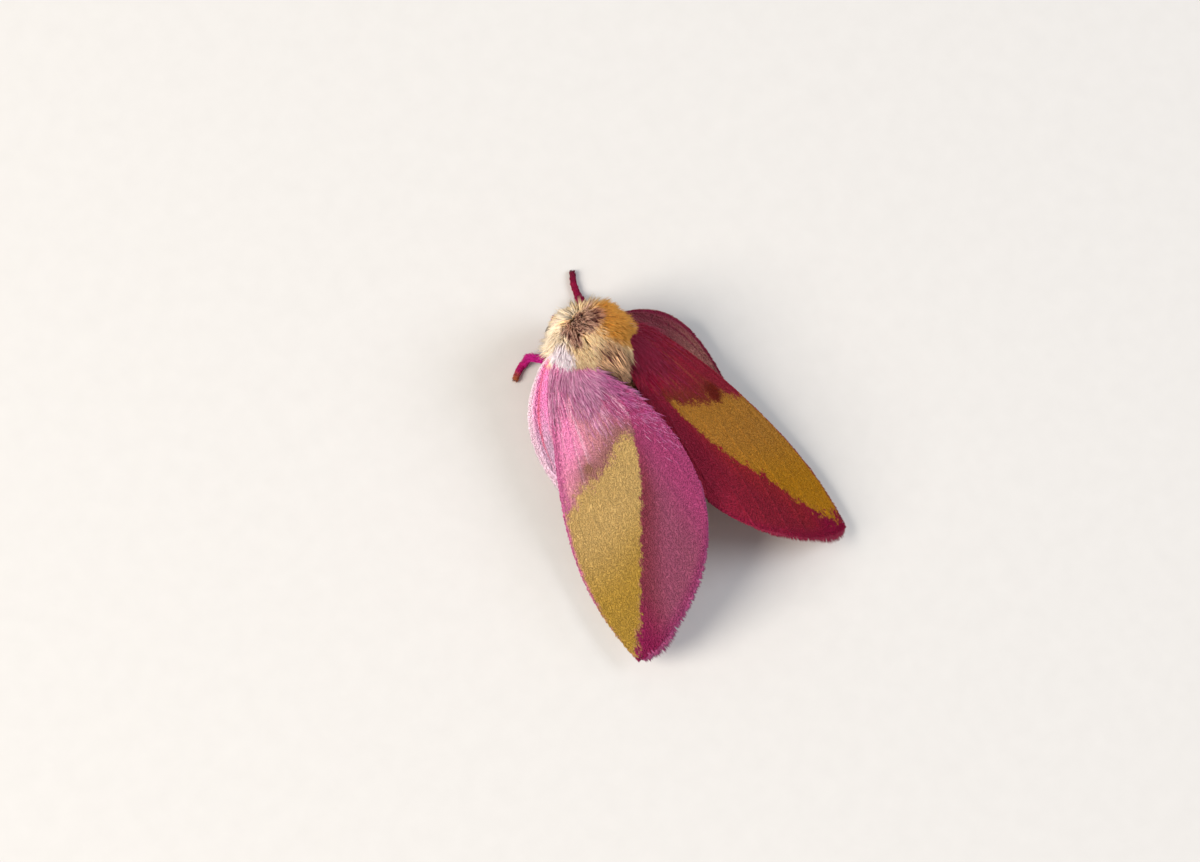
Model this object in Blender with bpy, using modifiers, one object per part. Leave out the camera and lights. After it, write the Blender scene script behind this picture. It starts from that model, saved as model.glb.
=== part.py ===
"""A rosy maple moth at rest, life size, as a still museum model.

The moth sits on the floor with its head towards -Y, its left side towards +X and up along +Z.
The forewings are folded like a low roof, the left one over the right one at the ridge, and the
front lobes of the hindwings show beyond their lower edges. Sizes are in metres.
"""

import math
import random

import bmesh
import bpy
from mathutils import Matrix, Vector
from mathutils.bvhtree import BVHTree

MM = 0.001
GAP = 0.3 * MM  # air between two nodes that touch on the real animal
LEFT, RIGHT = 1, -1

# Forewing, flat, measured along the line from its root to its tip and across it
WING_LENGTH = 20.0 * MM
WING_THICKNESS = 0.5 * MM
VEIN_THICKNESS = 0.7 * MM
EDGE_THICKNESS = 0.4 * MM
TORNUS_ALONG = 10.84 * MM
TORNUS_ACROSS = 7.74 * MM
OUTER_EDGE_BOW = 1.42 * MM
REAR_EDGE_BOW = 1.52 * MM
TIP_ROUNDING = 0.3 * MM
TORNUS_ROUNDING = 0.8 * MM
WING_ARCH = 1.02 * MM
ARCH_MIDDLE = 3.0 * MM
ARCH_HALF_WIDTH = 5.0 * MM

# Hindwing, in the forewing's own flat coordinates, lying just under it
HIND_TORNUS = (11.4 * MM, 5.7 * MM)
HIND_ROOT = (-1.15 * MM, 0.69 * MM)
HIND_ROOT_WIDTH = 1.7 * MM
HIND_OUTER_BOW = 1.1 * MM
HIND_UNDER = 1.08 * MM
LOBE_START = 1.2 * MM
LOBE_LIFT = 0.4

# How the wings of each side are held: turned out from the body, drooping to the tip and sloping as
# a roof, in degrees. Then where the front edge bows most and by how much, and the share of the
# forewing's breadth that is there, as the right one ends short of the left one that lies over it.
# The lobe is the bow of the hindwing's front edge, which shows beyond the forewing.
WING_HOLD = {
    LEFT: {
        "sweep": 12.6, "droop": 9.6, "roof": 33.6, "root": (3.30 * MM, -0.16 * MM, 4.63 * MM),
        "peak": 0.595, "bow": 2.10 * MM, "breadth": 1.0, "root_width": 1.75 * MM,
        "hind_tip": (11.8 * MM, 0.33 * MM), "lobe": 3.08 * MM, "lobe_peak": 0.42,
    },
    RIGHT: {
        "sweep": 16.8, "droop": 10.5, "roof": 28.4, "root": (3.20 * MM, -0.31 * MM, 4.28 * MM),
        "peak": 0.541, "bow": 2.28 * MM, "breadth": 0.93, "root_width": 2.3 * MM,
        "hind_tip": (12.0 * MM, 0.85 * MM), "lobe": 4.30 * MM, "lobe_peak": 0.40,
    },
}

# Body
THORAX_CENTRE = Vector((0.0, 0.45, 4.65)) * MM
THORAX_HALF = Vector((2.35, 2.45, 1.95)) * MM
HEAD_CENTRE = Vector((0.0, -1.85, 2.75)) * MM
HEAD_HALF = Vector((0.95, 0.95, 1.05)) * MM
EYE_CENTRE = Vector((1.03, -2.1, 2.45)) * MM
EYE_RADIUS = 0.56 * MM
ABDOMEN_START = 2.0 * MM
ABDOMEN_LENGTH = 10.6 * MM
ABDOMEN_RADIUS = 1.95 * MM
ABDOMEN_HEIGHT = 3.1 * MM
ABDOMEN_FLATNESS = 0.78
ABDOMEN_DROOP = 4.0
ABDOMEN_RINGS = 7

# Wool on the thorax and the head, as coarse locks
LOCK_LENGTH = 1.25 * MM
LOCK_WIDTH = 0.92 * MM
LOCK_DEPTH = 0.46
LOCK_SPACING = 0.78 * MM
HEAD_LOCK_SIZE = 0.62
SEED = 7


def clear_scene():
    """An empty file, whatever it held before."""
    for thing in list(bpy.data.objects):
        bpy.data.objects.remove(thing, do_unlink=True)


def collection_named(name):
    """A collection of that name, linked to the scene."""
    made = bpy.data.collections.new(name)
    bpy.context.scene.collection.children.link(made)
    return made


def material_named(name, colour, roughness):
    """A plain surface of one colour, as linear red, green and blue."""
    made = bpy.data.materials.new(name)
    made.use_nodes = True
    shader = made.node_tree.nodes["Principled BSDF"]
    shader.inputs["Base Color"].default_value = (*colour, 1.0)
    shader.inputs["Roughness"].default_value = roughness
    made.diffuse_color = (*colour, 1.0)
    return made


clear_scene()
MOTH = collection_named("rosy_maple_moth")
HELPERS = collection_named("cutters")
WOOL = material_named("yellow_wool", (0.76, 0.48, 0.17), 0.9)
ROSE = material_named("rose_scales", (0.45, 0.05, 0.17), 0.75)
PALE_ROSE = material_named("pale_rose_scales", (0.62, 0.20, 0.33), 0.75)
LEG_ROSE = material_named("leg_rose", (0.40, 0.01, 0.12), 0.6)
EYE_DARK = material_named("eye_dark", (0.02, 0.015, 0.012), 0.2)
FEELER_TAN = material_named("feeler_rose", (0.45, 0.10, 0.10), 0.7)


def new_object(name, mesh, material, collection):
    """A mesh object in a collection."""
    made = bpy.data.objects.new(name, mesh)
    made.data.materials.clear()
    made.data.materials.append(material)
    collection.objects.link(made)
    return made


def made_solid(source, name, material, collection=None):
    """A plain mesh object of what source looks like with its modifiers or its bevel."""
    bpy.context.view_layer.update()
    graph = bpy.context.evaluated_depsgraph_get()
    mesh = bpy.data.meshes.new_from_object(source.evaluated_get(graph))
    mesh.transform(source.matrix_world)
    shape = bmesh.new()
    shape.from_mesh(mesh)
    bmesh.ops.remove_doubles(shape, verts=shape.verts, dist=0.0001 * MM)
    bmesh.ops.recalc_face_normals(shape, faces=shape.faces)
    shape.to_mesh(mesh)
    shape.free()
    bpy.data.objects.remove(source)
    return new_object(name, mesh, material, collection or MOTH)


def largest_shell(thing):
    """Drops every closed surface of a mesh but the largest, as a cut or a union may leave scraps."""
    shape = bmesh.new()
    shape.from_mesh(thing.data)
    left = set(shape.faces)
    shells = []
    while left:
        found, edge_of_search = set(), [left.pop()]
        while edge_of_search:
            face = edge_of_search.pop()
            found.add(face)
            near = {other for edge in face.edges for other in edge.link_faces} & left
            left -= near
            edge_of_search.extend(near)
        shells.append(found)
    keep = max(shells, key=lambda shell: sum(face.calc_area() for face in shell))
    bmesh.ops.delete(shape, geom=[face for face in shape.faces if face not in keep], context="FACES")
    shape.to_mesh(thing.data)
    shape.free()


def cut(thing, cutter, solver="EXACT"):
    """Takes the cutter's space out of a mesh, and keeps its largest piece."""
    modifier = thing.modifiers.new("cut", "BOOLEAN")
    modifier.operation = "DIFFERENCE"
    modifier.solver = solver
    modifier.object = cutter
    name, material = thing.name, thing.data.materials[0]
    thing.name = name + "_uncut"
    done = made_solid(thing, name, material)
    largest_shell(done)
    return done


def smooth_path(points, radii, steps):
    """Points and radii read from a smooth curve through the given ones, steps to each stretch."""
    ends = [points[0] * 2 - points[1], *points, points[-1] * 2 - points[-2]]
    path, sizes = [], []
    for i in range(len(points) - 1):
        a, b, c, d = ends[i : i + 4]
        for k in range(steps):
            t = k / steps
            path.append(
                0.5 * (2 * b + (c - a) * t + (2 * a - 5 * b + 4 * c - d) * t**2 + (3 * b - a - 3 * c + d) * t**3)
            )
            sizes.append(radii[i] + (radii[i + 1] - radii[i]) * t)
    return [*path, points[-1]], [*sizes, radii[-1]]


def tube(name, points, radii, material, resolution=2):
    """A closed round tube along the points, each with its own radius."""
    curve = bpy.data.curves.new(name, "CURVE")
    curve.dimensions = "3D"
    curve.bevel_depth = MM
    curve.bevel_resolution = resolution
    curve.use_fill_caps = True
    line = curve.splines.new("POLY")
    line.points.add(len(points) - 1)
    for spot, place, radius in zip(line.points, points, radii):
        spot.co = (*place, 1.0)
        spot.radius = radius / MM
    source = bpy.data.objects.new(name + "_line", curve)
    MOTH.objects.link(source)
    return made_solid(source, name, material)


def ellipsoid(name, centre, half, material, collection, segments=20, rings=12):
    """A round body, longer or flatter along each axis."""
    shape = bmesh.new()
    bmesh.ops.create_uvsphere(shape, u_segments=segments, v_segments=rings, radius=1.0)
    bmesh.ops.scale(shape, vec=half, verts=shape.verts)
    bmesh.ops.translate(shape, vec=centre, verts=shape.verts)
    mesh = bpy.data.meshes.new(name)
    shape.to_mesh(mesh)
    shape.free()
    made = new_object(name, mesh, material, collection)
    made.data.shade_smooth()
    if collection == HELPERS:
        made.hide_render = True
        made.display_type = "WIRE"
    return made


def grown(half, by=GAP):
    """The half sizes of an ellipsoid made larger all round."""
    return half + Vector((by, by, by))


THORAX_ROOM = ellipsoid("thorax_room", THORAX_CENTRE, grown(THORAX_HALF), WOOL, HELPERS)
HEAD_ROOM = ellipsoid("head_room", HEAD_CENTRE, grown(HEAD_HALF), WOOL, HELPERS)


def floor_cutter():
    """A block whose top is the floor, which gives the feet their flat soles."""
    bpy.ops.mesh.primitive_cube_add(size=1.0, location=(0.0, 0.0, -2.0 * MM))
    block = bpy.context.object
    block.name = "floor_room"
    block.scale = (60 * MM, 60 * MM, 4 * MM)
    for holder in list(block.users_collection):
        holder.objects.unlink(block)
    HELPERS.objects.link(block)
    block.hide_render = True
    block.display_type = "WIRE"
    return block


FLOOR_ROOM = floor_cutter()


def peaked(t, peak):
    """A rounded bump from 0 to 0 over t from 0 to 1, highest at peak."""
    return math.sin(math.pi * max(t, 0.0) ** (math.log(0.5) / math.log(peak)))


def eased(t):
    """0 up to t of 0, 1 from t of 1, and a smooth step between."""
    t = min(max(t, 0.0), 1.0)
    return t * t * (3 - 2 * t)


def ray_point(along, root, end, front_bow, rear_bow, peak, across):
    """A point on one of the rays that fan out over a wing, from its root to its outer margin."""
    run = end - root
    side = Vector((-run.y, run.x)).normalized()
    bow = -front_bow * (1 - across) ** 1.5 * peaked(along, peak) + rear_bow * across**1.5 * 4 * along * (1 - along)
    return root + run * along + side * bow


def margin_point(across, tip, tornus, bow, tip_rounding, tornus_rounding, root):
    """Where the ray at this share of the way across the wing ends on the outer margin."""
    run = tornus - tip
    out = Vector((-run.y, run.x)).normalized()
    if out.x < 0:
        out = -out
    end = tip + run * across + out * bow * 4 * across * (1 - across)
    short = tip_rounding * max(0.0, 1 - across / 0.22) ** 2
    short += tornus_rounding * max(0.0, 1 - (1 - across) / 0.25) ** 2
    return end - (end - root).normalized() * short


def forewing_plan(along, across, hold):
    """The forewing's flat shape: along from root to margin, across from front edge to rear edge."""
    across *= 1 - (1 - hold["breadth"]) * eased(along / 0.5)
    root = Vector((0.25 * MM, hold["root_width"])) * across
    tip, tornus = Vector((WING_LENGTH, 0.0)), Vector((TORNUS_ALONG, TORNUS_ACROSS))
    end = margin_point(across, tip, tornus, OUTER_EDGE_BOW, TIP_ROUNDING, TORNUS_ROUNDING, root)
    spot = ray_point(along, root, end, hold["bow"], REAR_EDGE_BOW, hold["peak"], across)
    hinge = Vector((-0.5 * MM + 0.7 * MM * across, 1.2 * MM + 1.1 * MM * across))
    return hinge.lerp(spot, eased(along / 0.08))


def hindwing_plan(along, across, hold):
    """The hindwing's flat shape, in the same coordinates as the forewing's."""
    root = Vector(HIND_ROOT) + Vector((0.3 * MM, HIND_ROOT_WIDTH)) * across
    tip, tornus = Vector(hold["hind_tip"]), Vector(HIND_TORNUS)
    end = margin_point(across, tip, tornus, HIND_OUTER_BOW, 0.0, TORNUS_ROUNDING, root)
    spot = ray_point(along, root, end, hold["lobe"], 0.3 * MM, hold["lobe_peak"], across)
    hinge = Vector((-0.9 * MM + 0.5 * MM * across, 1.2 * MM + 1.1 * MM * across))
    return hinge.lerp(spot, eased(along / 0.09))


def wing_frame(side):
    """Root, and the directions along, across and up out of one side's wings."""
    hold = WING_HOLD[side]
    sweep, droop, roof = (math.radians(hold[key]) for key in ("sweep", "droop", "roof"))
    along = Vector((math.sin(sweep) * math.cos(droop), math.cos(sweep) * math.cos(droop), -math.sin(droop)))
    inward = Vector((-math.cos(sweep), math.sin(sweep), 0.0))
    upward = inward.cross(along)
    if upward.z < 0:
        upward = -upward
    across = inward * math.cos(roof) + upward * math.sin(roof)
    out = along.cross(across)
    if out.z < 0:
        out = -out
    return Vector(hold["root"]), along, across, out


def arched(spot):
    """How far the roof of the wing stands out of its flat plane."""
    lengthwise = math.sin(math.pi * min(max(spot.x / (1.03 * WING_LENGTH), 0.0), 1.0) ** 0.8)
    return WING_ARCH * (1 - ((spot.y - ARCH_MIDDLE) / ARCH_HALF_WIDTH) ** 2) * lengthwise


def on_wing(side, kind, along, across):
    """A point in the middle of a wing's thickness, in the moth's own frame."""
    root, run, breadth, out = wing_frame(side)
    plan = forewing_plan if kind == "fore" else hindwing_plan
    spot = plan(along, across, WING_HOLD[side])
    height = arched(spot)
    if kind == "hind":
        height += LOBE_LIFT * max(0.0, -spot.y - LOBE_START) - HIND_UNDER
    place = root + run * spot.x + breadth * spot.y + out * height
    return Vector((side * place.x, place.y, place.z))


# Each vein: its share of the way across the wing, and where along the wing it begins
FOREWING_VEINS = [(0.10, 0.0), (0.22, 0.0), (0.36, 0.46), (0.49, 0.48), (0.62, 0.46), (0.74, 0.0), (0.88, 0.0)]
HINDWING_VEINS = [(0.18, 0.0), (0.38, 0.42), (0.58, 0.42), (0.78, 0.0)]
VEIN_HALF_WIDTH = 0.020


def make_wing(name, side, kind, veins, rows, material):
    """One wing: a grid bent onto the wing's surface, then given its thickness, more along the veins."""
    columns = [0.0]
    for place, _ in veins:
        columns += [place - VEIN_HALF_WIDTH, place, place + VEIN_HALF_WIDTH]
    columns.append(1.0)
    starts = {round(place, 4): start for place, start in veins}
    shape = bmesh.new()
    bmesh.ops.create_grid(shape, x_segments=rows, y_segments=len(columns) - 1, size=0.5)
    mesh = bpy.data.meshes.new(name)
    thickness = {}
    shape.verts.ensure_lookup_table()
    for vert in shape.verts:
        along = (vert.co.x + 0.5) ** 1.25
        across = columns[round((vert.co.y + 0.5) * (len(columns) - 1))]
        share = WING_THICKNESS
        start = starts.get(round(across, 4))
        if start is not None:
            raised = eased((along - start) / 0.08 + 0.5) if start else 1.0
            share += (VEIN_THICKNESS - WING_THICKNESS) * raised * (1 - 0.5 * along)
        if across in (0.0, 1.0) or along > 0.999:
            share = EDGE_THICKNESS
        thickness[vert.index] = share / VEIN_THICKNESS
        vert.co = on_wing(side, kind, along, across)
    bmesh.ops.recalc_face_normals(shape, faces=shape.faces)
    shape.to_mesh(mesh)
    shape.free()
    sheet = new_object(name + "_sheet", mesh, material, MOTH)
    group = sheet.vertex_groups.new(name="thickness")
    for index, weight in thickness.items():
        group.add([index], weight, "REPLACE")
    sheet.modifiers.new("alike_on_both_faces", "TRIANGULATE").quad_method = "FIXED"
    solid = sheet.modifiers.new("membrane", "SOLIDIFY")
    solid.thickness = VEIN_THICKNESS
    solid.offset = 0.0
    solid.vertex_group = "thickness"
    wing = made_solid(sheet, name, material)
    return cut(wing, THORAX_ROOM)


def make_wings():
    """Both forewings and both hindwings."""
    for side, word in ((LEFT, "left"), (RIGHT, "right")):
        make_wing("forewing_" + word, side, "fore", FOREWING_VEINS, 15, ROSE)
        make_wing("hindwing_" + word, side, "hind", HINDWING_VEINS, 12, PALE_ROSE)


def make_abdomen():
    """A turned body of soft rings, tapering to the tail, its front shaped to the thorax."""
    mesh = bpy.data.meshes.new("abdomen_profile")
    shape = bmesh.new()
    last = None
    steps = 3 * ABDOMEN_RINGS
    for i in range(steps + 1):
        t = 1 - i / steps
        body = ABDOMEN_RADIUS * math.sqrt(max(0.0, 1 - t**2.6)) * min(1.0, 0.80 + 0.9 * t)
        ring = 0.06 * MM * math.cos(2 * math.pi * ABDOMEN_RINGS * t) if 0 < i < steps else 0.0
        radius = max(body - ring, 0.0) if i else 0.0
        if i == steps:
            radius = 0.0
        vert = shape.verts.new((radius, ABDOMEN_LENGTH * t, 0.0))
        if last:
            shape.edges.new((last, vert))
        last = vert
    shape.to_mesh(mesh)
    shape.free()
    profile = new_object("abdomen_turned", mesh, WOOL, MOTH)
    turn = profile.modifiers.new("turn", "SCREW")
    turn.axis = "Y"
    turn.steps = turn.render_steps = 18
    turn.use_merge_vertices = True
    turn.merge_threshold = 0.001 * MM
    profile.location = (0.0, ABDOMEN_START, ABDOMEN_HEIGHT)
    profile.rotation_euler.x = math.radians(-ABDOMEN_DROOP)
    profile.scale.z = ABDOMEN_FLATNESS
    return cut(made_solid(profile, "abdomen", WOOL), THORAX_ROOM)


# Each leg: hip, end of the hip joint, knee, ankle, heel, middle of the foot and its tip, in mm for the left side
LEG_PATHS = {
    "leg_front_left": (
        LEFT,
        [(1.0, -0.35, 3.6), (1.05, -0.75, 1.75), (1.2, -1.4, 1.15), (1.05, -1.6, 0.55),
         (0.95, -1.75, 0.26), (0.65, -2.15, 0.2), (0.35, -2.5, 0.2)],
    ),
    "leg_front_right": (
        RIGHT,
        [(0.95, -0.4, 3.6), (1.15, -0.85, 1.75), (1.95, -2.1, 1.3), (2.2, -3.2, 0.72),
         (2.32, -3.65, 0.27), (2.55, -4.55, 0.2), (2.9, -5.25, 0.2)],
    ),
    "leg_middle_left": (
        LEFT,
        [(1.1, 0.6, 3.6), (1.6, 0.5, 1.75), (2.05, -0.7, 1.6), (2.7, -1.66, 1.0),
         (3.1, -1.68, 0.33), (3.6, -1.5, 0.2), (4.15, -1.1, 0.2)],
    ),
    "leg_middle_right": (
        RIGHT,
        [(1.1, 0.6, 3.6), (1.5, 0.55, 1.75), (2.4, -0.1, 1.35), (3.25, 0.25, 0.65),
         (3.5, 0.4, 0.27), (4.0, 0.65, 0.2), (4.6, 1.0, 0.2)],
    ),
    "leg_hind_left": (
        LEFT,
        [(1.0, 1.5, 3.6), (1.3, 1.9, 1.9), (2.6, 3.2, 1.75), (3.2, 5.8, 0.7),
         (3.3, 6.3, 0.27), (3.45, 7.3, 0.2), (3.7, 8.4, 0.2)],
    ),
    "leg_hind_right": (
        RIGHT,
        [(1.0, 1.5, 3.6), (1.3, 1.9, 1.9), (2.6, 3.3, 1.7), (3.4, 5.9, 0.7),
         (3.55, 6.4, 0.27), (3.8, 7.4, 0.2), (4.2, 8.5, 0.2)],
    ),
}
LEG_RADII = [0.36, 0.31, 0.28, 0.25, 0.25, 0.25, 0.14]


def make_legs():
    """Six legs, each with its hip shaped to the thorax and its sole flat on the floor."""
    for name, (side, path) in LEG_PATHS.items():
        points = [Vector((side * x, y, z)) * MM for x, y, z in path]
        points, radii = smooth_path(points, [radius * MM for radius in LEG_RADII], 3)
        leg = cut(tube(name, points, radii, LEG_ROSE), THORAX_ROOM)
        cut(leg, FLOOR_ROOM)


# The left feeler, in mm: out of the brow, then back under the root of the wing
FEELER_PATH = [
    (0.42, -2.2, 3.5), (0.8, -2.6, 3.8), (1.4, -2.5, 3.65), (1.85, -2.0, 3.3),
    (2.05, -1.3, 2.85), (2.12, -0.55, 2.5), (2.3, 0.25, 2.4), (2.4, 1.1, 2.3),
]
FEELER_RADII = [0.26, 0.27, 0.27, 0.26, 0.26, 0.25, 0.25, 0.12]


def make_feelers():
    """Two plain feelers, laid back along the sides as at rest."""
    for side, word in ((LEFT, "left"), (RIGHT, "right")):
        points = [Vector((side * x, y, z)) * MM for x, y, z in FEELER_PATH]
        points, radii = smooth_path(points, [radius * MM for radius in FEELER_RADII], 2)
        cut(tube("antenna_" + word, points, radii, FEELER_TAN), HEAD_ROOM)


def make_eyes():
    """Two round compound eyes, set against the sides of the head."""
    for side, word in ((LEFT, "left"), (RIGHT, "right")):
        centre = Vector((side * EYE_CENTRE.x, EYE_CENTRE.y, EYE_CENTRE.z))
        ball = ellipsoid("eye_" + word, centre, Vector((1, 1, 1)) * EYE_RADIUS, EYE_DARK, MOTH, 16, 10)
        cut(ball, HEAD_ROOM)


def lock_template(bend):
    """A flat, tapered lock one unit long that leaves along +X and bends down towards -Z."""
    points = [Vector((-0.28, 0.0, -0.04)), Vector((0.30, 0.0, 0.05)), Vector((0.68, 0.0, -0.15 * bend)),
              Vector((1.0, 0.0, -0.45 * bend))]
    curve = bpy.data.curves.new("lock", "CURVE")
    curve.dimensions = "3D"
    curve.bevel_depth = 0.5
    curve.bevel_resolution = 0
    curve.use_fill_caps = True
    line = curve.splines.new("POLY")
    line.points.add(len(points) - 1)
    for spot, place, radius in zip(line.points, points, (0.72, 1.0, 0.68, 0.10)):
        spot.co = (*place, 1.0)
        spot.radius = radius
    source = bpy.data.objects.new("lock_line", curve)
    HELPERS.objects.link(source)
    bpy.context.view_layer.update()
    mesh = bpy.data.meshes.new_from_object(source.evaluated_get(bpy.context.evaluated_depsgraph_get()))
    shape = bmesh.new()
    shape.from_mesh(mesh)
    bmesh.ops.remove_doubles(shape, verts=shape.verts, dist=0.001)
    bmesh.ops.recalc_face_normals(shape, faces=shape.faces)
    shape.to_mesh(mesh)
    shape.free()
    bpy.data.objects.remove(source)
    return mesh


def lock_matrix(root, lie, up, length, width):
    """Places a lock: root on the skin, lie the way it points, up away from the skin."""
    forward = lie.normalized()
    sideways = up.cross(forward).normalized()
    upward = forward.cross(sideways)
    turn = Matrix((forward, sideways, upward)).transposed().to_4x4()
    return Matrix.Translation(root) @ turn @ Matrix.Diagonal((length, width, width * LOCK_DEPTH, 1.0))


def clear_of(obstacles, matrix, margin):
    """Whether a lock placed by this matrix keeps its distance from every other node."""
    for along in (0.15, 0.4, 0.7, 0.98):
        thin = 1 - 0.8 * along * along
        for sideways, under in ((-0.45, 0.0), (0.45, 0.0), (0.0, 0.3), (0.0, -0.5)):
            spot = matrix @ Vector((along, sideways * thin, under * thin - 0.25 * along))
            for tree in obstacles:
                if tree.find_nearest(spot, margin)[0] is not None:
                    return False
    return True


def fused(core, collection):
    """The core joined with every closed mesh of the collection into one closed body."""
    union = core.modifiers.new("fuse", "BOOLEAN")
    union.operation = "UNION"
    union.operand_type = "COLLECTION"
    union.solver = "EXACT"
    union.collection = collection
    name, material = core.name, core.data.materials[0]
    core.name = name + "_core"
    done = made_solid(core, name, material)
    for thing in list(collection.objects):
        bpy.data.objects.remove(thing)
    bpy.data.collections.remove(collection)
    largest_shell(done)
    return done


def wool_on(core, centre, half, rows, size, is_bare, lie_of, length_of, obstacles, chance):
    """Covers an ellipsoid with rows of locks from front to back, bent clear of what is near."""
    templates = [lock_template(bend) for bend in (0.5, 0.9, 1.3)]
    holder = collection_named(core.name + "_locks")
    count = 0
    for row in range(rows):
        polar = math.pi * (row + 0.6) / (rows + 0.2)
        ring = math.sin(polar)
        number = max(3, round(math.pi * (half.x + half.z) * ring / (LOCK_SPACING * size)))
        for i in range(number):
            turn = 2 * math.pi * (i + 0.5 * (row % 2)) / number + chance.uniform(-0.05, 0.05)
            normal = Vector((ring * math.sin(turn), -math.cos(polar), ring * math.cos(turn)))
            root = centre + Vector((half.x * normal.x, half.y * normal.y, half.z * normal.z))
            if is_bare(root):
                continue
            out = Vector((normal.x / half.x, normal.y / half.y, normal.z / half.z)).normalized()
            length = length_of(root) * size * chance.uniform(0.88, 1.12)
            width = LOCK_WIDTH * size * chance.uniform(0.85, 1.15)
            lift = 0.0
            for attempt in range(9):
                lie = lie_of(root, out).lerp(out, lift).normalized()
                matrix = lock_matrix(root, lie, out, length, width)
                if clear_of(obstacles, matrix, GAP + 0.1 * MM):
                    piece = new_object(f"lock_{count}", templates[count % 3].copy(), WOOL, holder)
                    piece.matrix_world = matrix
                    count += 1
                    break
                lift += 0.15
                if attempt > 3:
                    length *= 0.82
    return fused(core, holder)


def trees_of(names):
    """Search trees over the finished nodes of these names."""
    graph = bpy.context.evaluated_depsgraph_get()
    return [BVHTree.FromObject(bpy.data.objects[name], graph) for name in names]


def thorax_lie(root, out):
    """Wool on the thorax: forwards and out at the collar, back over the shoulders, to a point behind."""
    behind = Vector((0.0, 4.8, 6.2)) * MM
    back = (behind - root).normalized()
    forward = eased((-0.2 * MM - root.y) / (1.6 * MM))
    flow = back.lerp(Vector((0.0, -0.9, -0.6)), forward)
    return (flow - out * flow.dot(out)) + out * (0.42 + 0.1 * forward)


def thorax_length(root):
    """Longer wool behind, where it ends in a pointed tuft."""
    rear = eased((root.y - 1.0 * MM) / (1.6 * MM)) * eased((root.z - 4.6 * MM) / (1.2 * MM))
    return LOCK_LENGTH * (1.0 + 0.25 * rear)


def thorax_bare(root):
    """The underside between the legs is smooth, and so is the place where the head meets it."""
    return root.z < (3.85 * MM if root.y < -0.6 * MM else 3.4 * MM)


def make_thorax():
    """The thorax's core and its wool."""
    core = ellipsoid("thorax", THORAX_CENTRE, THORAX_HALF, WOOL, MOTH)
    names = ["forewing_left", "forewing_right", "hindwing_left", "hindwing_right", "abdomen", "head",
             "eye_left", "eye_right", "antenna_left", "antenna_right", *LEG_PATHS]
    return wool_on(core, THORAX_CENTRE, THORAX_HALF, 9, 1.0, thorax_bare, thorax_lie, thorax_length,
                   trees_of(names), random.Random(SEED))


def head_lie(root, out):
    """Wool on the face lies downwards and a little forwards."""
    flow = Vector((0.0, -0.5, -1.0))
    return (flow - out * flow.dot(out)) + out * 0.5


def head_bare(root):
    """The head is bare behind, where it meets the thorax, and underneath at the mouth."""
    return root.y > -2.0 * MM or root.z < 2.0 * MM


def make_head():
    """The head, tucked under the front of the thorax, with two short palps and a woolly face."""
    core = cut(ellipsoid("head", HEAD_CENTRE, HEAD_HALF, WOOL, MOTH, 18, 12), THORAX_ROOM)
    palps = collection_named("palps")
    for side in (LEFT, RIGHT):
        points = [Vector((side * x, y, z)) * MM for x, y, z in
                  ((0.28, -2.3, 2.2), (0.32, -2.85, 2.05), (0.34, -3.1, 1.9))]
        palp = tube(f"palp_{side + 1}", points, [0.28 * MM, 0.26 * MM, 0.14 * MM], LEG_ROSE, 1)
        MOTH.objects.unlink(palp)
        palps.objects.link(palp)
    core = fused(core, palps)
    near = ["eye_left", "eye_right", "antenna_left", "antenna_right", "leg_front_left", "leg_front_right"]
    return wool_on(core, HEAD_CENTRE, HEAD_HALF, 8, HEAD_LOCK_SIZE, head_bare, head_lie,
                   lambda root: LOCK_LENGTH, trees_of(near), random.Random(SEED + 1))


def place_on_origin():
    """Hangs every node on one empty, which puts the middle of the box's underside at the origin."""
    carrier = bpy.data.objects.new("moth", None)
    MOTH.objects.link(carrier)
    corners = [vert.co for thing in MOTH.objects if thing.type == "MESH" for vert in thing.data.vertices]
    middle = [(min(c[k] for c in corners) + max(c[k] for c in corners)) / 2 for k in (0, 1)]
    for thing in MOTH.objects:
        if thing.type == "MESH":
            thing.parent = carrier
            thing.data.set_sharp_from_angle(angle=math.radians(40))
    carrier.location = (-middle[0], -middle[1], -min(c[2] for c in corners))


make_wings()
make_abdomen()
make_legs()
make_feelers()
make_eyes()
make_head()
make_thorax()
place_on_origin()
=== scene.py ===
# %% [markdown]
# # A rosy maple moth at rest
# This lesson dresses a plain solid model of a small pink and yellow moth, about 20 mm long.
# The solids come first, as a frame: every visible piece below is built in the same place and
# size as the solid it stands for. The moth faces -Y, its left side is +X and up is +Z.
# A moth's colour is all in its coat: millions of flat scales on the wings and long wool on the
# body. We model the skin under it once, and then the coat as thousands of small closed tufts,
# because tufts made of mesh catch the light and break the outline as the real ones do.

import math

import bmesh
import bpy
import numpy as np
from mathutils import Matrix, Vector


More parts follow.
